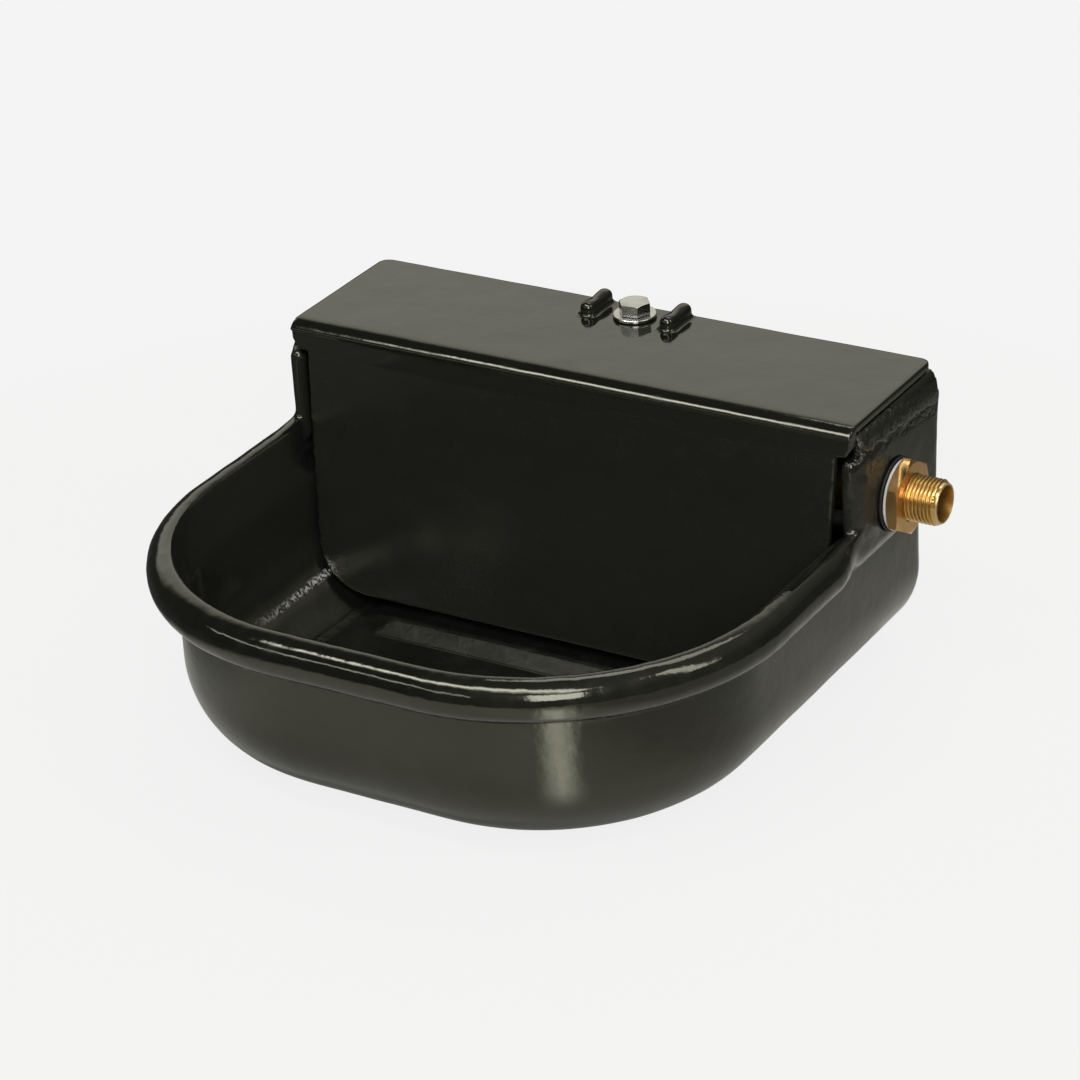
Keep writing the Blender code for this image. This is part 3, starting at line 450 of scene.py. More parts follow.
def enamelFinish(name, isCover):
    look = Finish(name)
    across = look.axis("X")
    ahead = look.axis("Y")
    height = look.axis("Z")
    facing = look.node("TexCoord", output="Normal")
    upward = look.axis("Z", facing)
    broad = look.noise(22 * mm, 2.0)
    peel = look.noise(5.5 * mm, 2.0)
    fine = look.noise(1.3 * mm, 2.0)
    pits = 1 - look.spots(2.4 * mm).between(0.03, 0.16)
    sparse = look.noise(9 * mm, 1.0).between(0.60, 0.68)
    cloud = look.noise(13 * mm, 4.0, 0.65).between(0.48, 0.74)
    relief = broad * 0.40 + peel * 0.34 + fine * 0.05 - pits * sparse * 0.25
    haze = cloud * enamelLook["haze"] + enamelLook["gloss"]
    if isCover:
        # a painted glint: a pale spot on the plate's lower left edge
        reach = look.vectors("DISTANCE", look.places, enamelLook["edgeGlint"])
        edgeGlint = (1 - reach.between(0.002, 0.0075)) * fine.between(0.45, 0.56)
        panel = 1 - height.between(lipBottom - 4 * mm, lipBottom + 3 * mm)
        level = upward.between(0.90, 0.97)
        # painted sheen: the cover's upright faces get a lighter enamel than its upward ones, which keep the
        # darkest
        colour = look.blend(cloud * 0.4, enamelLook["plate"], enamelLook["worn"])
        colour = look.blend(upward.between(0.06, 0.22), colour, enamelLook["deep"])
        colour = look.blend(edgeGlint * 0.8, colour, enamelLook["crumbs"])
        haze = haze - level * 0.03 - level * cloud * 0.05 + panel * 0.14
    else:
        flatPlace = look.vectors("MULTIPLY", look.places, (1, 1, 0), "Vector")
        outward = look.vectors("DOT_PRODUCT", flatPlace, facing)
        inside = 1 - outward.between(-0.03, 0.01)
        low = 1 - height.between(0.045, 0.065)
        crumbs = look.noise(3.2 * mm, 4.0, 0.7)
        specks = look.noise(1.7 * mm, 3.0, 0.6)
        # sandy skin where the hollow's wall turns into its floor, and along the foot of the raised floor;
        # the pale specks along the wall's foot are painted glints on whitish specks in the enamel, fading
        # out towards the front
        seam = upward.between(0.55, 0.60) * (1 - upward.between(0.62, 0.67)) * low * inside
        seam = seam * ahead.between(-0.035, 0.045) * (1 - across.between(-0.08, -0.04))
        ramp = upward.between(0.96, 0.975) * (1 - upward.between(0.988, 0.996)) * low * inside
        footLine = backY - chamber["padDepth"] - chamber["padRamp"]
        run = ahead.between(footLine - 0.8 * mm, footLine)
        run = run * (1 - ahead.between(footLine, footLine + 0.8 * mm))
        run = run * (1 - height.between(0.008, 0.012)) * across.between(-0.094, -0.086) * inside
        # a scar of the mould's joint along the top of the inlet's wall, with a jagged lower edge whose dark
        # line is a bump step with painted shade
        lowEdge, lowFull, highFull, highEdge = enamelLook["scarHeights"]
        slant = height + (ahead - 0.096) * 0.085
        ragged = slant + (look.noise(7 * mm, 4.0, 0.7) - 0.5) * 0.009
        wall = across.between(0.134, 0.139)
        onset = wall * ragged.between(lowFull - mm, lowFull + mm)
        scar = onset * (1 - ragged.between(highFull, highEdge))
        step = wall * ragged.between(lowEdge, lowFull)
        brow = wall * height.between(0.125, 0.135)
        # uneven, duller enamel beside the inlet
        reach = look.vectors("DISTANCE", look.stretched((0, 1, 1)), enamelLook["inletSide"])
        lumps = wall * (1 - reach.between(0.012, 0.024))
        swell = look.noise(7 * mm, 2.0)
        skin = look.noise(2.2 * mm, 3.0, 0.6)
        # painted light and shade: the hollow's walls get a lighter enamel and its upward faces a darker one
        # than the outside
        insideLightAndShade = look.blend(upward.between(0.2, 0.6), enamelLook["inside"], enamelLook["floor"])
        colour = look.blend(inside, enamelLook["deep"], insideLightAndShade)
        colour = look.blend(cloud * 0.35, colour, enamelLook["worn"])
        # pale lumps along the scar: partly the scar's own rough tone, partly painted light on the lumps
        lip = onset * (1 - ragged.between(lowFull + 2.2 * mm, lowFull + 4.5 * mm))
        # painted shade: the band below the scar goes back to the darkest enamel, as shade in the crevice
        colour = look.blend(wall * step, colour, enamelLook["deep"])
        colour = look.blend(lip * crumbs.between(0.44, 0.56) * 0.6, colour, enamelLook["scarTintAndLight"])
        # painted glints: pale specks along the wall's foot, partly whitish specks in the enamel
        colour = look.blend(seam * specks.between(0.46, 0.58), colour, enamelLook["crumbs"])
        relief = relief + seam * specks * 2.0 + ramp * crumbs * 2.0 + run * 2.2 + skin * 0.10 + peel * 0.15
        relief = relief + scar * crumbs * 9.0 - step * 10.0 - brow * 9.0
        relief = relief + lumps * (swell * 9.0 + crumbs)
        haze = haze + scar * 0.16 + lumps * 0.38 + inside * low * 0.04
    return look.surface({
        "Base Color": colour,
        "Roughness": haze,
        "Specular Tint": enamelLook["tint"],
        "IOR": 1.6,
        "Normal": look.relief(relief, 0.35 * mm, strength=0.5),
    })


brassLook = {"bright": (0.80, 0.54, 0.18, 1), "dull": (0.60, 0.38, 0.11, 1)}
nutLook = {"bright": (0.84, 0.50, 0.19, 1), "dull": (0.66, 0.44, 0.22, 1)}


def brassFinish(name, tones, gloss, stains, coat):
    look = Finish(name)
    lines = look.noise(0.30 * mm, 1.0, 0.5, (1.0, 0.04, 0.04))
    stain = look.noise(7 * mm, 3.0, 0.55).between(0.46, 0.74)
    colour = look.blend(stain * stains, tones["bright"], tones["dull"])
    return look.surface({
        "Base Color": colour,
        "Roughness": gloss + stain * 0.10 + lines * 0.05,
        "Metallic": 1.0,
        "Coat Weight": coat,
        "Coat Roughness": 0.12,
        "Normal": look.relief(lines, 0.012 * mm, strength=0.4),
    })


zincLook = {"bright": (0.55, 0.55, 0.51, 1), "dull": (0.40, 0.40, 0.365, 1)}


def zincFinish():
    look = Finish("brightZinc")
    scratch = look.noise(0.5 * mm, 2.0, 0.5, (1.0, 0.12, 1.0))
    cloud = look.noise(5 * mm, 2.0, 0.5).between(0.40, 0.70)
    colour = look.blend(cloud * 0.4, zincLook["bright"], zincLook["dull"])
    return look.surface({
        "Base Color": colour,
        "Roughness": 0.22 + cloud * 0.06,
        "Metallic": 1.0,
        "Normal": look.relief(scratch, 0.006 * mm, strength=0.4),
    })


def rubberFinish():
    look = Finish("blackRubber")
    grain = look.noise(0.7 * mm, 3.0)
    dust = look.noise(5 * mm, 3.0).between(0.5, 0.8)
    return look.surface({
        "Base Color": look.blend(dust * 0.6, (0.012, 0.012, 0.012, 1), (0.035, 0.034, 0.031, 1)),
        "Roughness": 0.55 + dust * 0.25,
        "Normal": look.relief(grain, 0.05 * mm, strength=0.5),
    })


def fibreFinish():
    look = Finish("paleFibre")
    threads = look.noise(0.6 * mm, 4.0, 0.7)
    stain = look.noise(7 * mm, 3.0).between(0.45, 0.8)
    return look.surface({
        "Base Color": look.blend(stain * 0.6, (0.66, 0.66, 0.63, 1), (0.50, 0.49, 0.45, 1)),
        "Roughness": 0.7 + threads * 0.15,
        "Normal": look.relief(threads, 0.06 * mm, strength=0.6),
    })


def foamFinish():
    look = Finish("floatFoam")
    cells = look.spots(1.6 * mm)
    shade = look.noise(14 * mm, 3.0).between(0.4, 0.8)
    seams = cells.between(0.25, 0.6)
    return look.surface({
        "Base Color": look.blend(shade * 0.5 + seams * 0.2, (0.74, 0.73, 0.68, 1), (0.58, 0.57, 0.51, 1)),
        "Roughness": 0.55 + seams * 0.2,
        "Normal": look.relief(1 - cells, 0.12 * mm, strength=0.6),
    })


finishes = {
    "brass": brassFinish("machinedBrass", brassLook, 0.27, 0.4, 1.0),
    "zinc_steel": zincFinish(),
    "black_rubber": rubberFinish(),
    "white_fibre": fibreFinish(),
    "float_plastic": foamFinish(),
}
print("finishes made")


def fit(made, slotName, body, *nodes, finish=None):
    made.data.materials.clear()
    made.data.materials.append(finish or finishes[slotName])
    if nodes:
        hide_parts(*nodes)
    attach(made, body)
    return made


bowl = {
    **inMetres(
        width=300, depth=272, cornerRadius=116, backCorner=6, rimHeight=90.5, rimRadius=10.2, rimEdge=2.2,
        rimFlat=0.3, creaseHeight=69, creaseInset=12.7, footRadius=39, backFoot=16, lowerWall=4.6,
        floor=4.8, floorRadius=34, backWall=6, knuckle=(144.8, 62.0, 112.5), knuckleSize=(2.4, 3.6, 3.0),
        grain=1.3,
        # size, depth and the heights between which they fade in
        dents=((26, 0.35), (10, 0.28, 60, 82)),
    ),
    "rounds": 4,
    "triangles": 195000,
}
chamber = inMetres(
    width=291.6, height=134.7, depth=78.5, blend=26, ledge=75, foot=78, crownHeight=13, crownInset=5,
    beadRadius=3.8, beadInset=1.0, beadTop=124.4, frontCorner=3.0, padHeight=2.4, padDepth=100, padRamp=13,
    padWidth=192, padEnd=12, padSetback=10, coverDepth=81, coverLip=5.4, notchTop=143, boltSetback=13,
    boltHole=4.3, boltDrill=(98, 146), bossRadius=9, bossHeight=24, bossTaper=2.5, wallHole=5.5,
    wallHoleSpacing=176, wallHoleHeight=112, wallDrill=(124, 142),
)
inlet = inMetres(
    setback=46, height=94.5, thread=10.48, threadDepth=1.16, pitch=1.814, bore=7.5, reach=24,
    drill=(133, 157),
)
touchGap = 0.3 * mm
halfWidth = bowl["width"] / 2
backY = bowl["depth"] / 2
frontY = -bowl["depth"] / 2
chamberHalf = chamber["width"] / 2
chamberFront = backY - chamber["depth"]
innerHalf = halfWidth - bowl["rimRadius"] - bowl["rimFlat"]
inletY = backY - inlet["setback"]
inletHole = inlet["thread"] + touchGap
boltY = backY - chamber["boltSetback"]


def bowlPlan(inset, backInset, besideChamber):
    # the casting's plan at one level; beside the chamber its half width eases to besideChamber
    half = halfWidth - inset
    corner = bowl["cornerRadius"] - inset
    back = backY - backInset
    front = frontY + inset
    turn = bowl["backCorner"]
    right = arcPoints((half - turn, back - turn), turn, 90, 0, 5)
    stations = [chamber["depth"] * share for share in (0.3, 0.55, 0.8)]
    stations += [chamber["depth"] + chamber["blend"] * share / 8 for share in range(9)]
    right += [(half, backY - station) for station in stations]
    right += arcPoints((half - corner, front + corner), corner, 0, -90, 40)
    shaped = []
    for x, y in right:
        ahead = smoothStep(chamberFront - y, 0, chamber["blend"])
        if y > front + corner:
            x += (besideChamber - half) * (1 - ahead)
        shaped.append((x, y))
    return bothSides(shaped)


def footInset(height, radius):
    short = min(max(radius - height, 0), radius)
    return radius - sqrt(radius**2 - short**2)


def outerLevels():
    # height, inset in front and half width beside the chamber, from the underside to the crest
    foot = bowl["footRadius"]
    levels = []
    for inset, height in arcPoints((foot + bowl["creaseInset"], foot), foot, -90, -180, 18):
        levels.append((height, inset, halfWidth - inset))
    levels.append((bowl["creaseHeight"], bowl["creaseInset"], halfWidth - bowl["creaseInset"]))
    centre = bowl["rimHeight"] - bowl["rimRadius"]
    lowHalf = halfWidth - bowl["creaseInset"]
    for inset, height in arcPoints((bowl["rimRadius"], centre), bowl["rimRadius"], 258, 90, 24):
        share = min((height - bowl["creaseHeight"]) / (centre - bowl["creaseHeight"]), 1)
        bulge = sqrt(1 - (1 - share) ** 2)
        levels.append((height, inset, lowHalf + (chamberHalf - lowHalf) * bulge))
    return levels


def innerLevels():
    # the same for the hollow, from its floor to above the walls
    wallInset = bowl["creaseInset"] + bowl["lowerWall"]
    topInset = bowl["rimRadius"] + bowl["rimFlat"]
    edgeHeight = bowl["rimHeight"] - bowl["rimEdge"]
    taperStart = bowl["creaseHeight"] - bowl["lowerWall"]
    share = (chamber["ledge"] - taperStart) / (edgeHeight - taperStart)
    ledgeInset = wallInset + (topInset + bowl["rimEdge"] - wallInset) * share
    radius = bowl["floorRadius"]
    levels = []
    for inset, height in arcPoints((wallInset + radius, bowl["floor"] + radius), radius, -90, -180, 16):
        levels.append((height, inset, halfWidth - inset))
    levels.append((taperStart, wallInset, halfWidth - wallInset))
    levels.append((chamber["ledge"], ledgeInset, innerHalf))
    for inset, height in arcPoints((topInset, edgeHeight), bowl["rimEdge"], 0, 90, 5):
        levels.append((height, inset, innerHalf))
    levels.append((chamber["height"] + 4 * mm, topInset, innerHalf))
    return levels


def ringsFrom(levels, floorHeight, footRadius, backInset):
    rings = []
    for height, inset, beside in levels:
        rise = footInset(height - floorHeight, footRadius)
        rings.append([(x, y, height) for x, y in bowlPlan(inset, backInset + rise, beside)])
    return rings


def uprights(shape, y, inset, least):
    # the edges at one y, close to the chamber's sides, that rise by more than the least height
    def near(vertex):
        return abs(vertex.co.y - y) < mm and abs(vertex.co.x) > chamberHalf - inset

    return [
        edge for edge in shape.edges
        if all(map(near, edge.verts)) and abs(edge.verts[0].co.z - edge.verts[1].co.z) > least
    ]


def chamberBlock():
    straight = chamber["height"] - chamber["crownHeight"]
    side = [(chamberHalf, chamber["foot"]), (chamberHalf, straight)]
    for index in range(1, 9):
        turn = pi / 2 * index / 8
        x = chamberHalf - chamber["crownInset"] * (1 - cos(turn))
        side.append((x, straight + chamber["crownHeight"] * sin(turn)))
    block = pushOut("chamberBlock", bothSides(side), chamberFront, backY, "XZ")
    with opened(block) as shape:
        bevelEdges(shape, uprights(shape, backY, 0.1 * mm, 20 * mm), bowl["backCorner"] * 0.9, 5)
        bevelEdges(shape, uprights(shape, chamberFront, 6 * mm, 0.5 * mm), chamber["frontCorner"], 4)
    return block


def floorPad():
    foot = chamber["padHeight"] + bowl["floor"] / 2
    top = bowl["floor"] + chamber["padHeight"]
    slope = chamber["padRamp"] * foot / chamber["padHeight"]
    rings = []
    for height, ahead in ((top - foot, slope), (top, 0)):
        front = backY - chamber["padDepth"] - ahead
        half = chamber["padWidth"] / 2 + ahead / 2
        end = chamber["padEnd"]
        back = backY - chamber["padSetback"]
        plan = bothSides([(half, back), (half, front + end), (half - end, front)])
        rings.append([(x, y, height) for x, y in plan])
    return raiseRings("floorPad", rings)


def frontBead(side):
    radius = chamber["beadRadius"]
    bottom = bowl["rimHeight"] - bowl["rimRadius"]
    profile = [(0, bottom), (radius, bottom)]
    profile += arcPoints((0, chamber["beadTop"] - radius), radius, 0, 90, 10)
    x = side * (chamberHalf - radius - chamber["beadInset"])
    return turnProfile("frontBead", profile, (x, chamberFront, 0), "Z", 44)


def boltBoss():
    top = chamber["height"] - touchGap
    bottom = top - chamber["bossHeight"]
    taper = chamber["bossTaper"]
    radius = chamber["bossRadius"]
    profile = [(0, bottom), (radius - taper, bottom), (radius, bottom + 2 * taper), (radius, top), (0, top)]
    web = boxShape(
        "bossWeb",
        (taper - radius, boltY + 4 * mm + taper, bottom + taper),
        (radius - taper, backY - bowl["backWall"] / 2, top - touchGap),
    )
    return turnProfile("boltBoss", profile, (0, boltY, 0), "Z", 44), web


def makeBowl():
    body = raiseRings("bowlCasting", ringsFrom(outerLevels(), 0, bowl["backFoot"], 0))
    carve(body, chamberBlock(), "UNION")
    hollow = ringsFrom(innerLevels(), bowl["floor"], bowl["backFoot"] - bowl["backWall"], bowl["backWall"])
    carve(body, raiseRings("hollow", hollow))
    carve(body, floorPad(), "UNION")
    wide = bowl["width"]
    back = backY - chamber["coverDepth"] + chamber["coverLip"] + 2 * touchGap
    notch = boxShape("lipNotch", (-wide, frontY, chamber["beadTop"]), (wide, back, chamber["notchTop"]))
    carve(body, notch)
    for side in (-1, 1):
        carve(body, frontBead(side), "UNION")
    for piece in boltBoss():
        carve(body, piece, "UNION")
    drill(body, chamber["boltHole"], *chamber["boltDrill"], (0, boltY, 0), "Z", 40)
    drill(body, inletHole, *inlet["drill"], (0, inletY, inlet["height"]), "X")
    for side in (-1, 1):
        place = (side * chamber["wallHoleSpacing"] / 2, 0, chamber["wallHoleHeight"])
        drill(body, chamber["wallHole"], *chamber["wallDrill"], place, "Y")
    shape = bmesh.new()
    ops.create_uvsphere(shape, u_segments=24, v_segments=12, radius=1)
    ops.scale(shape, verts=shape.verts, vec=bowl["knuckleSize"])
    ops.translate(shape, verts=shape.verts, vec=bowl["knuckle"])
    carve(body, newObject("knuckle", shape), "UNION")
    melt(body, bowl)
    # the foot and the back stay flat, for the table and the wall
    for vertex in body.data.vertices:
        vertex.co.z = max(vertex.co.z, 0.0)
        vertex.co.y = min(max(vertex.co.y, frontY + 0.01 * mm), backY)
    finishes["enamel"] = enamelFinish("bowlEnamel", False)
    return fit(body, "enamel", "bowl", "bowl_body")


makeBowl()
print("bowl made")

cover = {
    **inMetres(
        width=285, thickness=4, nose=9, noseProud=1.3, corner=5, lipHeight=14, endTaper=3, endRise=5,
        plateWidth=270, plateLowWidth=258, plateThickness=4.5, plateStep=0.3, plateCorner=26, floorGap=3.4,
        ribLength=22.5, ribWidth=7.2, ribHeight=6.6, ribSpacing=41, ribDip=0.5, boltDrill=(130, 146),
        grain=0.9, dents=((24, 0.25),),
    ),
    "depth": chamber["coverDepth"],
    "lipThickness": chamber["coverLip"],
    "noseSweep": 57,
    "plateLean": 6,
    "ribRound": 0.46,
    "ribNarrowing": 0.07,
    "rounds": 3,
    "triangles": 195000,
}
coverUnder = chamber["height"] + touchGap
coverTop = coverUnder + cover["thickness"]
coverBack = backY - 2 * touchGap
coverFront = backY - cover["depth"]
lipBottom = coverTop - cover["lipHeight"]
noseBack = coverFront - cover["noseProud"] + cover["nose"] * sin(radians(cover["noseSweep"]))


def coverSheet():
    half = cover["width"] / 2
    corner = cover["corner"]
    plan = [(-half, noseBack), (half, noseBack)]
    plan += arcPoints((half - corner, coverBack - corner), corner, 0, 90, 8)
    plan += arcPoints((corner - half, coverBack - corner), corner, 90, 180, 8)
    sheet = pushOut("coverSheet", plan, coverUnder, coverTop)
    return drill(sheet, chamber["boltHole"], *cover["boltDrill"], (0, boltY, 0), "Z", 40)


def coverLip():
    nose = cover["nose"]
    back = coverFront + cover["lipThickness"]
    inside = coverUnder + cover["thickness"] / 3
    outline = arcPoints((noseBack, coverTop - nose), nose, 90, 90 + cover["noseSweep"], 14)
    outline += [
        (coverFront, outline[-1][1] - 0.5 * mm), (coverFront, lipBottom), (back, lipBottom), (back, inside),
        (noseBack + 2 * mm, inside), (noseBack + 2 * mm, coverTop),
    ]
    half = cover["width"] / 2
    lip = pushOut("coverLip", outline, -half, half, "YZ")
    with opened(lip) as shape:
        for side in (-1, 1):
            # takes the lower corner off each end of the lip
            low = Vector((side * (half - cover["endTaper"]), 0, lipBottom))
            high = Vector((side * half, 0, lipBottom + cover["endRise"]))
            along = high - low
            edges = sliced(shape, low, Vector((along.z * side, 0, -along.x * side)), True)
            ops.holes_fill(shape, edges=edges)
    return lip


def coverPlate():
    top = lipBottom + cover["lipThickness"] / 2
    bottom = bowl["floor"] + chamber["padHeight"] + cover["floorGap"]
    half = cover["plateWidth"] / 2
    narrowing = (cover["plateWidth"] - cover["plateLowWidth"]) / 2 / (lipBottom - bottom)
    corner = cover["plateCorner"]
    cornerHalf = half - narrowing * (lipBottom - bottom - corner)
    side = [(half, top)] + arcPoints((cornerHalf - corner, bottom + corner), corner, 0, -90, 16)
    front = coverFront + cover["plateStep"]
    plate = pushOut("coverPlate", bothSides(side), front, front + cover["plateThickness"], "XZ")
    lean = tan(radians(cover["plateLean"]))
    for vertex in plate.data.vertices:
        vertex.co.y -= lean * (lipBottom - vertex.co.z)
    return plate


def coverRib(side):
    x = side * cover["ribSpacing"] / 2
    half = cover["ribWidth"] / 2
    low = (x - half, coverBack - cover["ribLength"], coverTop - mm)
    high = (x + half, coverBack - 0.2 * mm, coverTop + cover["ribHeight"])
    rib = boxShape("coverRib", low, high, cover["ribRound"] * cover["ribWidth"], 6)
    # its top dips a little behind the front end
    with opened(rib) as shape:
        for share in (0.26, 0.34, 0.42, 0.5, 0.58, 0.66, 0.74):
            sliced(shape, (0, low[1] + share * cover["ribLength"], 0), (0, 1, 0))
        for vertex in shape.verts:
            share = (vertex.co.y - low[1]) / cover["ribLength"]
            sag = smoothStep(share, 0.2, 0.42) * (1 - smoothStep(share, 0.46, 0.8))
            vertex.co.x += (x - vertex.co.x) * cover["ribNarrowing"] * sag
            vertex.co.z -= cover["ribDip"] * sag * smoothStep(vertex.co.z, low[2], high[2])
    return rib


def makeCover():
    shells = [coverSheet(), coverLip(), coverPlate(), coverRib(-1), coverRib(1)]
    made = gather("coverCasting", shells)
    melt(made, cover)
    return fit(made, "enamel", "chamber_cover", "cover", finish=enamelFinish("coverEnamel", True))


makeCover()
print("cover made")

bolt = {
    **inMetres(
        radius=4, flats=13, head=5.3, length=25, plainNeck=4, pitch=1.25, threadDepth=0.7, edge=0.22,
        washerRadius=10, washerThickness=1.6, washerEdge=0.3,
    ),
    "crownSlope": 0.42,
    "turn": 9,
}


def makeBolt():
    seat = coverTop + 2 * touchGap + bolt["washerThickness"]
    centre = (0, boltY, 0)
    top = seat + bolt["head"]
    head = hexShape("coverBolt", bolt["flats"], seat, top, centre, "Z", bolt["turn"] + 30)
    corner = bolt["flats"] / sqrt(3)
    past = bolt["flats"] / 2
    wide = 2 * corner
    crown = [
        (0, seat - mm), (wide, seat - mm), (wide, top - (wide - past) * bolt["crownSlope"]), (past, top),
        (past, top + mm), (0, top + mm),
    ]
    carve(head, turnProfile("boltCrown", crown, centre, "Z", 72), "INTERSECT")
    foot = seat - bolt["length"]
    radius = bolt["radius"]
    chamfer = radius / 5
    core = radius - bolt["threadDepth"]
    neck = seat - bolt["plainNeck"]
    shank = [
        (0, foot), (core, foot, chamfer), (core, neck), (radius, neck + 0.5 * mm), (radius, seat + mm),
        (0, seat + mm),
    ]
    carve(head, turnProfile("boltShank", shank, centre, "Z", 48), "UNION")
    soften(head, bolt["edge"])
    turns = int((neck - foot - chamfer) / bolt["pitch"]) - 1
    ridge = threadRidge(
        "boltThread", foot + chamfer, turns, radius, bolt["threadDepth"], bolt["pitch"], centre, "Z", 36
    )
    head = gather("coverBolt", [head, ridge])
    fit(head, "zinc_steel", "bolt_and_washer", "cover_bolt")
    low = coverTop + touchGap
    high = low + bolt["washerThickness"]
    edge = bolt["washerEdge"]
    inner = radius + touchGap
    outer = bolt["washerRadius"]
    profile = [(inner, low, edge), (outer, low, edge), (outer, high, edge), (inner, high, edge)]
    washer = turnProfile("coverWasher", profile, centre, "Z", 72)
    soften(washer, 0.12 * mm)
    fit(washer, "zinc_steel", "bolt_and_washer", "cover_washer")


makeBolt()
print("cover bolt made")

nut = {**inMetres(flats=31.4, thickness=5.4, edge=0.35), "slope": 0.38, "turn": 30}
washers = inMetres(gasketRadius=16.8, fibreRadius=16.0, innerRadius=15, thickness=1.2)
gasketX = chamberHalf + touchGap
fibreX = gasketX + washers["thickness"] + touchGap
nutX = fibreX + washers["thickness"] + touchGap
inletEnd = chamberHalf + inlet["reach"]
innerGasketX = innerHalf - touchGap - washers["thickness"]
inletCentre = (0, inletY, inlet["height"])


def flatRing(name, outer, inner, start, end, centre, edge=0.3 * mm):
    profile = [(inner, start), (outer, start, edge), (outer, end, edge), (inner, end)]
    return soften(turnProfile(name, profile, centre, "X", 72), 0.4 * edge)


def makeInletStack():
    rings = (
        ("outerGasket", washers["gasketRadius"], gasketX, "black_rubber", "outer_gasket"),
        ("fibreWasher", washers["fibreRadius"], fibreX, "white_fibre", "fibre_washer"),
        ("innerGasket", washers["innerRadius"], innerGasketX, "black_rubber", "inner_gasket"),
    )
    for name, radius, start, slotName, node in rings:
        ring = flatRing(name, radius, inletHole, start, start + washers["thickness"], inletCentre)
        fit(ring, slotName, "bowl", node)
    end = nutX + nut["thickness"]
    made = nutShape(
        "lockNut", nut["flats"], nutX, end, inletHole, inletCentre, nut["turn"], nut["slope"], nut["edge"]
    )
    fit(made, "brass", "bowl", "lock_nut", finish=brassFinish("pressedBrass", nutLook, 0.30, 0.7, 0.2))


makeInletStack()
print("inlet stack made")

valve = inMetres(
    flangeRadius=15, flangeThickness=5, chamfer=0.8, barrelRadius=12, barrelLength=26, barrelBore=7.3,
    seatDepth=9, window=3.4, shoulderFlats=26, shoulderThickness=4, nozzleLength=11, nozzleTip=3,
    nozzleTipRadius=4.6, orifice=2.5, ringThickness=1.4, forkGap=18, forkThickness=2.6, forkHeight=9,
    forkRoot=12, pivotReach=9, pivotDrop=14.5, pinRadius=1.6, pinHead=1.6, pinHeadRadius=2.8, pinEdge=0.4,
    pinEnd=4.1, splitHole=0.8, splitSetback=1.5, splitWire=0.26, mouth=8.2, mouthDepth=5, drillReach=30,
    edge=0.3,
)
flangeX = innerGasketX - touchGap - valve["flangeThickness"]
barrelX = flangeX - valve["barrelLength"]
seatX = barrelX + valve["seatDepth"]
nozzleX = seatX + valve["nozzleTip"]
nozzleEnd = seatX + valve["nozzleLength"]
pivotX = barrelX - valve["pivotReach"]
pivotZ = inlet["height"] - valve["pivotDrop"]
forkHalf = valve["forkGap"] / 2 + valve["forkThickness"]


def valveTurning():
    # everything of the valve's body that the lathe makes
    core = inlet["thread"] - inlet["threadDepth"]
    edge = valve["chamfer"]
    boreEnd = nozzleEnd + valve["ringThickness"] + 2 * touchGap
    neck = valve["orifice"] + edge
    barrel = valve["barrelRadius"]
    flange = valve["flangeRadius"]
    flangeEnd = flangeX + valve["flangeThickness"]
    profile = [
        (valve["barrelBore"] + edge / 2, barrelX), (barrel, barrelX, edge), (barrel, flangeX),
        (flange, flangeX, edge / 2), (flange, flangeEnd, edge / 2), (core, flangeEnd),
        (core, inletEnd - 0.7 * mm), (core - 0.3 * mm, inletEnd), (valve["mouth"], inletEnd),
        (inlet["bore"], inletEnd - valve["mouthDepth"]), (inlet["bore"], boreEnd + edge),
        (neck, boreEnd + edge), (neck, boreEnd), (valve["barrelBore"], boreEnd),
        (valve["barrelBore"], barrelX + edge / 2),
    ]
    return turnProfile("valveCasting", profile, inletCentre, "X", 96)


def forkArm(side):
    edge = valve["chamfer"]
    half = valve["forkHeight"] / 2
    root = barrelX + valve["forkRoot"]
    outline = arcPoints((pivotX, pivotZ), half, 270, 90, 14)
    outline += [(barrelX + 2 * edge, inlet["height"] - 2 * edge), (root, inlet["height"] - 2 * edge)]
    outline += [(root, inlet["height"] - valve["barrelBore"]), (barrelX, pivotZ - half)]
    low, high = sorted((inletY + side * valve["forkGap"] / 2, inletY + side * forkHalf))
    return pushOut("forkArm", outline, low, high, "XZ")


def makeValveBody():
    body = valveTurning()
    edge = valve["chamfer"]
    start = flangeX - valve["shoulderThickness"]
    shoulder = hexShape("shoulder", valve["shoulderFlats"], start, flangeX + edge, inletCentre, "X", 30)
    inside = (valve["barrelRadius"] + valve["barrelBore"]) / 2
    drill(shoulder, inside, start - mm, flangeX + 2 * mm, inletCentre, "X", 60)
    carve(body, shoulder, "UNION")
    for side in (-1, 1):
        carve(body, forkArm(side), "UNION")
    far = valve["drillReach"]
    pinHole = valve["pinRadius"] + touchGap
    drill(body, pinHole, -far, far, (pivotX, inletY, pivotZ), "Y", 40)
    place = (seatX, inletY, inlet["height"])
    drill(body, valve["window"], -far, 0, place, "Z", 48)
    soften(body, valve["edge"], 3, 32)
    pitch = inlet["pitch"]
    radius = inlet["thread"]
    depth = inlet["threadDepth"]
    ridge = threadRidge("tailThread", nutX - 1.5 * pitch, 13, radius, depth, pitch, inletCentre)
    # cuts the ridge off behind the tail's turned end
    start = inletEnd - 2.2 * mm
    low = inletEnd - 0.6 * mm
    high = inletEnd + 9 * mm
    trim = [
        (radius + 0.05 * mm, start), (radius - depth - 0.3 * mm, low), (5 * mm, low), (5 * mm, high),
        (radius + 2 * mm, high), (radius + 2 * mm, start),
    ]
    carve(ridge, turnProfile("tailTrim", trim, inletCentre, "X", 90))
    fit(gather("valveCasting", [body, ridge]), "brass", "bowl", "valve_body")


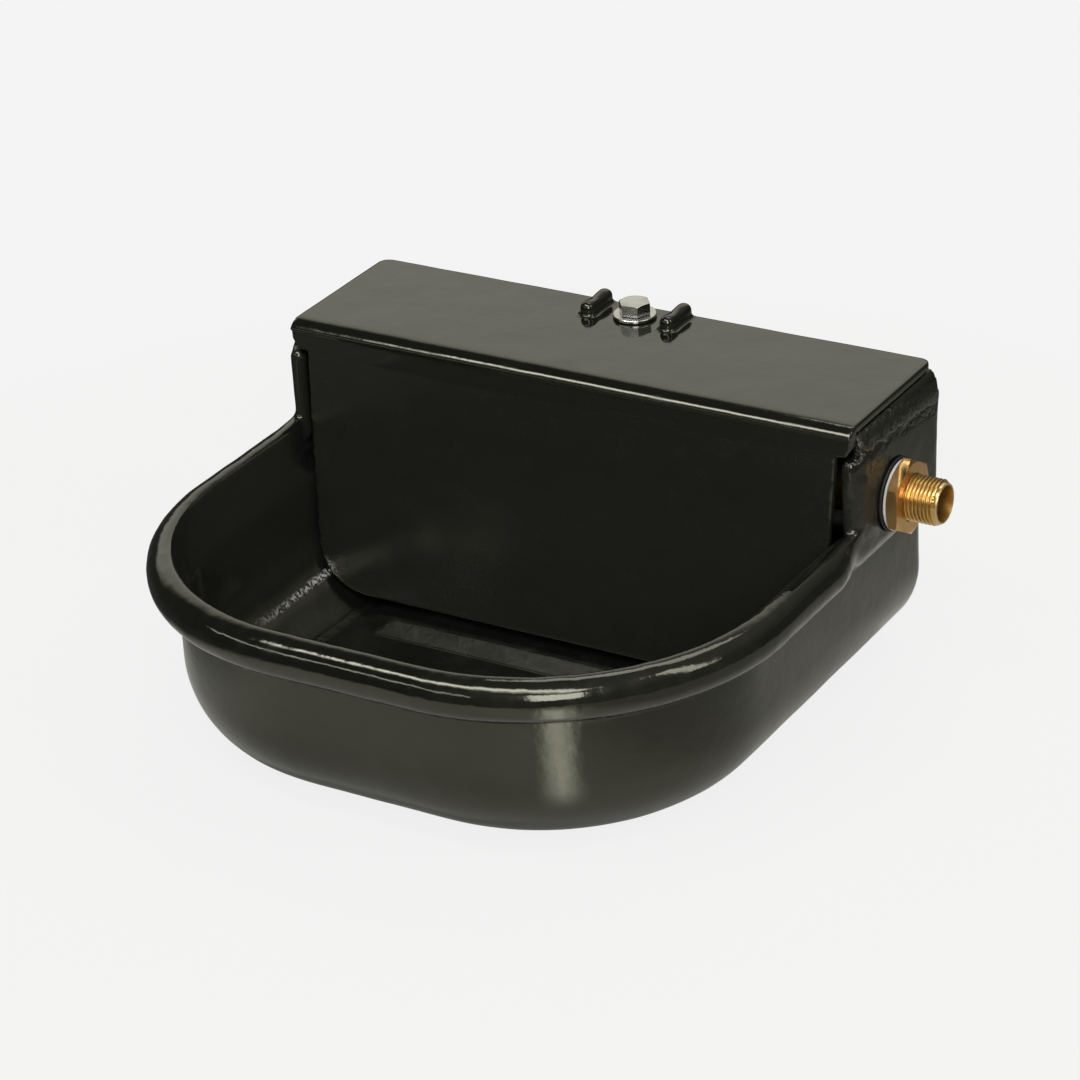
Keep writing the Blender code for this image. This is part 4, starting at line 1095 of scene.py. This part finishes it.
def makeNozzle():
    outer = valve["barrelBore"] - touchGap
    hole = valve["orifice"]
    tip = valve["nozzleTipRadius"]
    edge = valve["chamfer"] / 2
    profile = [
        (hole, seatX + edge), (hole + 0.5 * mm, seatX), (tip - 0.3 * mm, seatX), (tip, seatX + 0.3 * mm),
        (tip + 0.6 * mm, nozzleX), (outer, nozzleX, edge), (outer, nozzleEnd, edge), (hole, nozzleEnd),
    ]
    made = soften(turnProfile("nozzleInsert", profile, inletCentre, "X", 72), 0.12 * mm)
    fit(made, "zinc_steel", "bowl", "nozzle")
    start = nozzleEnd + touchGap
    end = start + valve["ringThickness"]
    ring = flatRing("nozzleRing", outer, hole + 0.5 * mm, start, end, inletCentre)
    fit(ring, "black_rubber", "bowl", "nozzle_ring")


makeValveBody()
makeNozzle()
print("valve body made")

floatArm = {
    **inMetres(
        tappet=3, thickness=5, stem=3.6, hub=5, socket=5, socketReach=22, socketFloor=4, armHalf=3.2,
        rod=2.5, rodLength=200, rodPitch=0.8, floatStart=96, floatLength=100, floatWidth=60, floatHeight=33,
        floatEdge=9, floatDrop=21, tubeProud=1, tubeRadius=6, nutFlats=8, nutThickness=4, washerRadius=5,
        washerThickness=1, grain=1.0, dents=(),
    ),
    "travel": 8.5,
    "rounds": 3,
    "triangles": 60000,
}
piston = inMetres(nose=8.6, chamfer=1, seal=4.9, sealThickness=2.6, sealProud=0.8)
pistonTravel = valve["pivotDrop"] * sin(radians(floatArm["travel"]))


def letDown(made):
    # the arm is made level about its pivot, then let down to where it hangs in an empty bowl
    turn = Matrix.Rotation(-radians(floatArm["travel"]), 4, "Y")
    made.data.transform(Matrix.Translation((pivotX, inletY, pivotZ)) @ turn)
    return made


def makePiston():
    shift = pistonTravel + touchGap
    face = seatX - shift - piston["sealProud"]
    outer = valve["barrelBore"] - touchGap
    pocket = piston["seal"] + touchGap
    depth = piston["sealThickness"] - piston["sealProud"] + touchGap
    tail = pivotX - pistonTravel - piston["nose"]
    edge = piston["chamfer"]
    profile = [
        (0, tail), (outer, tail, edge), (outer, face, 0.3 * mm), (pocket, face), (pocket, face - depth),
        (0, face - depth),
    ]
    body = turnProfile("pistonBody", profile, inletCentre, "X", 72)
    slotX = pivotX - pistonTravel
    half = floatArm["tappet"] + 0.4 * mm
    wide = floatArm["thickness"] / 2 + 2 * touchGap
    top = inlet["height"] + floatArm["tappet"] + touchGap
    low = (slotX - half, inletY - wide, inlet["height"] - 2 * outer)
    carve(body, boxShape("tappetSlot", low, (slotX + half, inletY + wide, top)))
    soften(body, 0.25 * mm)
    fit(body, "brass", "valve_piston", "piston")
    start = face - depth + touchGap
    end = start + piston["sealThickness"]
    edge = piston["sealProud"] / 2
    radius = piston["seal"]
    disc = [
        (0, start), (radius, start, edge), (radius, end, edge), (radius * 0.62, end),
        (radius * 0.55, end - 0.15 * mm), (0, end - 0.15 * mm),
    ]
    seal = soften(turnProfile("pistonSeal", disc, inletCentre, "X", 60), 0.1 * mm)
    fit(seal, "black_rubber", "valve_piston", "piston_seal")


def makePivotPin():
    head = valve["pinHead"]
    radius = valve["pinRadius"]
    start = -forkHalf - touchGap - head
    length = forkHalf + valve["pinEnd"] - start
    wide = valve["pinHeadRadius"]
    edge = valve["pinEdge"]
    profile = [(0, 0), (wide, 0, edge), (wide, head), (radius, head), (radius, length, edge), (0, length)]
    place = (pivotX, inletY + start, pivotZ)
    pin = turnProfile("pivotPin", profile, place, "Y", 48)
    splitY = inletY + forkHalf + 2 * touchGap + valve["splitSetback"]
    drill(pin, valve["splitHole"], -4 * mm, 4 * mm, (pivotX, splitY, pivotZ), "Z", 24)
    soften(pin, 0.12 * mm)
    fit(pin, "zinc_steel", "bowl", "pivot_pin")
    # the split pin: two legs side by side, an eye above and one leg bent aside below
    top = pivotZ + radius + valve["splitSetback"]
    wire = bpy.data.curves.new("splitPin", "CURVE")
    wire.dimensions = "3D"
    wire.bevel_depth = valve["splitWire"]
    wire.bevel_resolution = 3
    wire.use_fill_caps = True
    track = [(0.30, -7.4), (0.26, -4.0), (0.24, -1.0), (0.55, 0.35)]
    track += arcPoints((0, 1.15), 0.95, -20, 200, 11)
    track += [(-0.55, 0.35), (-0.24, -1.0), (-0.26, -4.0), (-0.30, -6.0), (-0.55, -6.8)]
    line = wire.splines.new("POLY")
    line.points.add(len(track) - 1)
    for point, (across, up) in zip(line.points, track):
        point.co = (pivotX + across * mm, splitY, top + up * mm, 1)
    bent = linked("splitPinWire", wire)
    mesh = bpy.data.meshes.new_from_object(bent)
    bpy.data.objects.remove(bent)
    made = linked("splitPin", mesh)
    made.data.shade_smooth()
    fit(made, "zinc_steel", "bowl", "split_pin")


def makeLever():
    stem = floatArm["stem"] / 2
    arm = floatArm["armHalf"]
    hub = floatArm["hub"]
    tappet = floatArm["tappet"]
    spread = degrees(asin(stem / tappet))
    outline = arcPoints((0, valve["pivotDrop"]), tappet, spread - 90, 270 - spread, 24)
    outline += [(-stem, hub), (-hub, arm), (-2 * hub, arm), (-2 * hub, -arm)]
    outline += arcPoints((0, 0), hub, 220, 360 + degrees(acos(stem / hub)), 20)
    half = floatArm["thickness"] / 2
    lever = pushOut("leverArm", outline, -half, half, "XZ")
    start = -floatArm["socketReach"]
    end = -hub - mm
    hole = floatArm["rod"] + touchGap
    floor = end - floatArm["socketFloor"]
    radius = floatArm["socket"]
    profile = [
        (hole, start), (radius, start, 0.6 * mm), (radius, end, 0.8 * mm), (0, end), (0, floor),
        (hole, floor),
    ]
    carve(lever, turnProfile("leverSocket", profile, (0, 0, 0), "X", 60), "UNION")
    pinHole = valve["pinRadius"] + touchGap
    drill(lever, pinHole, -2 * half, 2 * half, (0, 0, 0), "Y", 40)
    soften(lever, 0.4 * mm, 3, 32)
    fit(letDown(lever), "brass", "float_arm", "lever")
    return floor


def makeRod(end):
    radius = floatArm["rod"]
    start = end - floatArm["rodLength"]
    pitch = floatArm["rodPitch"]
    core = radius - 0.6 * pitch
    near = -floatArm["floatStart"]
    far = near - floatArm["floatLength"]
    # threaded at both ends and through the float's ends, plain between
    threads = [(start + 0.3 * mm, 24), (near - 4 * mm, 22), (-floatArm["socketReach"] - 9 * mm, 17)]
    profile = [(0, start), (core - 0.3 * mm, start), (core, start + 0.3 * mm)]
    for low, turns in threads:
        high = low + (turns + 1) * pitch
        if low > start + mm:
            profile += [(radius, low - 0.3 * mm), (core, low)]
        profile += [(core, high), (radius, high + 0.3 * mm)]
    profile += [(radius, end - 0.4 * mm), (radius - 0.4 * mm, end), (0, end)]
    shells = [turnProfile("rodCore", profile, (0, 0, 0), "X", 40)]
    for low, turns in threads:
        shells.append(threadRidge("rodThread", low, turns, radius, 0.6 * pitch, pitch, steps=24))
    fit(letDown(gather("floatRod", shells)), "zinc_steel", "float_arm", "float_rod")
    hole = radius + touchGap
    thick = floatArm["nutThickness"]

    def rodNut(name, x, node):
        made = nutShape(name, floatArm["nutFlats"], x, x + thick, hole, (0, 0, 0), 30, 0.45, 0.15 * mm)
        fit(letDown(made), "zinc_steel", "float_arm", node)

    def rodWasher(name, x, node):
        made = flatRing(
            name, floatArm["washerRadius"], hole, x, x + floatArm["washerThickness"], (0, 0, 0), 0.2 * mm
        )
        fit(letDown(made), "zinc_steel", "float_arm", node)

    rodNut("rodLockNut", -floatArm["socketReach"] - touchGap - thick, "rod_lock_nut")
    place = near + floatArm["tubeProud"] + touchGap
    rodWasher("floatNearWasher", place, "float_near_washer")
    rodNut("floatNearNut", place + floatArm["washerThickness"] + touchGap, "float_near_nut")
    place = far - floatArm["tubeProud"] - touchGap - floatArm["washerThickness"]
    rodWasher("floatFarWasher", place, "float_far_washer")
    rodNut("floatFarNut", place - touchGap - thick, "float_far_nut")


def makeFloat():
    near = -floatArm["floatStart"]
    far = near - floatArm["floatLength"]
    half = floatArm["floatWidth"] / 2
    rise = floatArm["floatHeight"] / 2
    drop = -floatArm["floatDrop"]
    low = (far, -half, drop - rise)
    high = (near, half, drop + rise)
    body = boxShape("floatBlock", low, high, floatArm["floatEdge"], 6)
    tube = floatArm["tubeRadius"]
    proud = floatArm["tubeProud"]
    outline = [(-tube, drop), (tube, drop)] + arcPoints((0, 0), tube, 0, 180, 20)
    carve(body, pushOut("floatRidge", outline, far - proud, near + proud, "YZ"), "UNION")
    hole = floatArm["rod"] + touchGap
    melt(body, floatArm)
    drill(body, hole, far - 20 * mm, near + 20 * mm, (0, 0, 0), "X", 40)
    fit(letDown(body), "float_plastic", "float_arm", "float")


makePiston()
makePivotPin()
makeRod(makeLever() - touchGap)
makeFloat()
print("float arm made")

nodeFinish = {item["node"]: item["material_slot"] for item in frame["record"]["subparts"]}
for name, node in frame["nodes"].items():
    for place in node.material_slots:
        place.material = finishes[nodeFinish[name]]


camera = {
    "lens": 132.08,
    "azimuth": 31.867,
    "elevation": 26.779,
    "roll": -3.179,
    "distance": 1.6969,
    "target": (0.02791, -0.01383, 0.09455),
}


def direction(azimuth, elevation):
    # azimuth in degrees from the front towards the inlet's side, elevation above the table
    turn, rise = radians(azimuth), radians(elevation)
    return Vector((sin(turn) * cos(rise), -cos(turn) * cos(rise), sin(rise)))


def placeCamera():
    azimuth = radians(camera["azimuth"])
    roll = radians(camera["roll"])
    away = direction(camera["azimuth"], camera["elevation"])
    level = Vector((cos(azimuth), sin(azimuth), 0))
    upright = away.cross(level)
    right = level * cos(roll) + upright * sin(roll)
    up = upright * cos(roll) - level * sin(roll)
    lens = bpy.data.cameras.new("photoView")
    lens.lens = camera["lens"]
    lens.sensor_width = 36
    lens.clip_end = 20
    made = linked("photoView", lens)
    turn = Matrix((right, up, away)).transposed().to_4x4()
    made.matrix_world = Matrix.Translation(Vector(camera["target"]) + away * camera["distance"]) @ turn
    bpy.context.scene.camera = made


studio = {
    "backdrop": 0.905,
    "tableRadius": 0.6,
    "tableColour": (0.86, 0.855, 0.80, 1),
    "tableGlow": 0.93,
    "tableFar": 0.07,
    "tableLeft": (-0.25, -0.13),
    "tableRight": (0.12, 0.235),
    "tableBack": (0.13, 0.45),
    "tableFront": (-0.56, -0.36),
    "roomRadius": 2.9,
    "roomWarmth": (1.0, 0.985, 0.88, 1),
}
glare = {
    "start": (0.0912, -0.1066),
    "azimuth": 32,
    "spread": 0.13,
    "length": 0.15,
    "radiance": 4.0,
    "colour": (1.0, 0.99, 0.96, 1),
}


def glareShare(look):
    # a beam on the table that widens as it leaves the bowl
    beam = direction(glare["azimuth"], 0)
    aside = direction(glare["azimuth"] + 90, 0)
    start = Vector((*glare["start"], 0))
    length = glare["length"]
    along = look.vectors("DOT_PRODUCT", look.places, beam) - start.dot(beam)
    off = look.vectors("DOT_PRODUCT", look.places, aside) - start.dot(aside)
    off = look.node("Math", {"operation": "ABSOLUTE"}, {0: off})
    share = 1 - (off - along * glare["spread"]).between(-0.016, 0.018)
    share = share * along.between(0.0, 0.04) * (1 - along.between(0.5 * length, 1.6 * length) * 0.75)
    return share * (1 - along.between(2.0 * length, 2.4 * length))


def makeTable():
    # a pale round table; seen directly it has the backdrop's own tone, with the object's shadow on it
    radius = studio["tableRadius"]
    shape = bmesh.new()
    ops.create_circle(shape, cap_ends=True, segments=128, radius=radius)
    table = newObject("studioTable", shape)
    look = Finish("studioTable")
    satin = look.node("BsdfDiffuse", {}, {"Color": studio["tableColour"]})
    glow = look.emission((1, 1, 1, 1), studio["backdrop"])
    direct = look.node("LightPath", output="Is Camera Ray")
    mirrored = look.node("LightPath", output="Is Glossy Ray")
    through = look.node("LightPath", output="Is Transmission Ray")
    edge = look.vectors("LENGTH", look.places).between(0.6 * radius, 0.95 * radius)
    # mirrored in the enamel, the table is bright in front and falls off into the dim room
    across = look.axis("X")
    ahead = look.axis("Y")
    lit = 1 + across.between(0.02, 0.12) * 0.14 - across.between(*studio["tableRight"]) * 0.66
    lit = lit * across.between(*studio["tableLeft"]) * ahead.between(*studio["tableFront"])
    lit = lit * (1 - ahead.between(*studio["tableBack"]) * 0.75) * 0.88
    dim = look.emission(studio["roomWarmth"], studio["tableFar"])
    satin = look.mix(mirrored * (1 - lit), satin, dim)
    # the glare that the softbox leaves on the table in front of the bowl
    shine = look.emission(glare["colour"], glare["radiance"])
    satin = look.mix(mirrored * glareShare(look), satin, shine)
    share = (direct + through) * (studio["tableGlow"] + edge * (1 - studio["tableGlow"]))
    look.out(look.mix(share, satin, glow))
    table.data.materials.append(look.material)
    for vertex in table.data.vertices:
        vertex.co.z = -0.2 * mm


def makeRoom():
    # the grey room round the table, white behind the object; the camera looks through it
    shape = bmesh.new()
    ops.create_uvsphere(shape, u_segments=64, v_segments=32, radius=studio["roomRadius"])
    room = newObject("studioRoom", shape)
    look = Finish("studioRoom")
    across = look.axis("X") * (1 / studio["roomRadius"])
    ahead = look.axis("Y") * (1 / studio["roomRadius"])
    up = look.axis("Z") * (1 / studio["roomRadius"])
    behind = ahead.between(0.12, 0.42) * (1 - up.between(0.58, 0.78)) * up.between(0.20, 0.33)
    behind = behind * (1 - across.between(-0.12, 0.22))
    shade = ahead.between(0.2, 0.6) * (1 - up.between(0.25, 0.42)) * 0.85
    left = across.between(-0.6, 0.4) * 0.11 * (1 - shade)
    grey = 0.05 + left + up.between(0.4, 0.7) * across.between(-0.5, 0.3) * 0.12
    look.out(look.emission(studio["roomWarmth"], grey + behind * 0.86))
    look.material.cycles.emission_sampling = "NONE"
    room.data.materials.append(look.material)
    room.visible_camera = False
    world = bpy.data.worlds.new("studio")
    world.use_nodes = True
    backdrop = world.node_tree.nodes["Background"].inputs
    backdrop["Color"].default_value = (1, 1, 1, 1)
    backdrop["Strength"].default_value = studio["backdrop"]
    bpy.context.scene.world = world


# azimuth, elevation, distance, size and radiance; the streak lamps only show as lines in glossy things
# and add no light to dull ones
lamps = {
    "overhead": (-5, 66, 2.0, (2.2, 0.32), 7.0),
    "streak": (-9, 61, 1.98, (2.2, 0.32), 3.5),
    "lowStreak": (-32, 29, 2.0, (2.2, 0.14), 4.0),
    "softbox": (33, 32, 2.4, (0.85, 1.05), 8.0),
    "rightStrip": (97, 42, 2.2, (0.4, 1.2), 4.5),
    "backTop": (-172, 60, 2.2, (1.3, 0.6), 2.6),
}
streaks = ("streak", "lowStreak")


def placeLamps():
    for name, (azimuth, elevation, distance, size, radiance) in lamps.items():
        away = direction(azimuth, elevation)
        light = bpy.data.lights.new(name, "AREA")
        light.shape = "RECTANGLE"
        light.size, light.size_y = size
        light.energy = radiance * pi * light.size * light.size_y
        made = linked(name, light)
        made.visible_diffuse = name not in streaks
        turn = away.to_track_quat("Z", "Y").to_matrix().to_4x4()
        made.matrix_world = Matrix.Translation(away * distance + Vector((0, 0, 0.05))) @ turn


placeCamera()
makeTable()
makeRoom()
placeLamps()
bpy.context.scene.view_settings.view_transform = "Standard"
print("studio made")
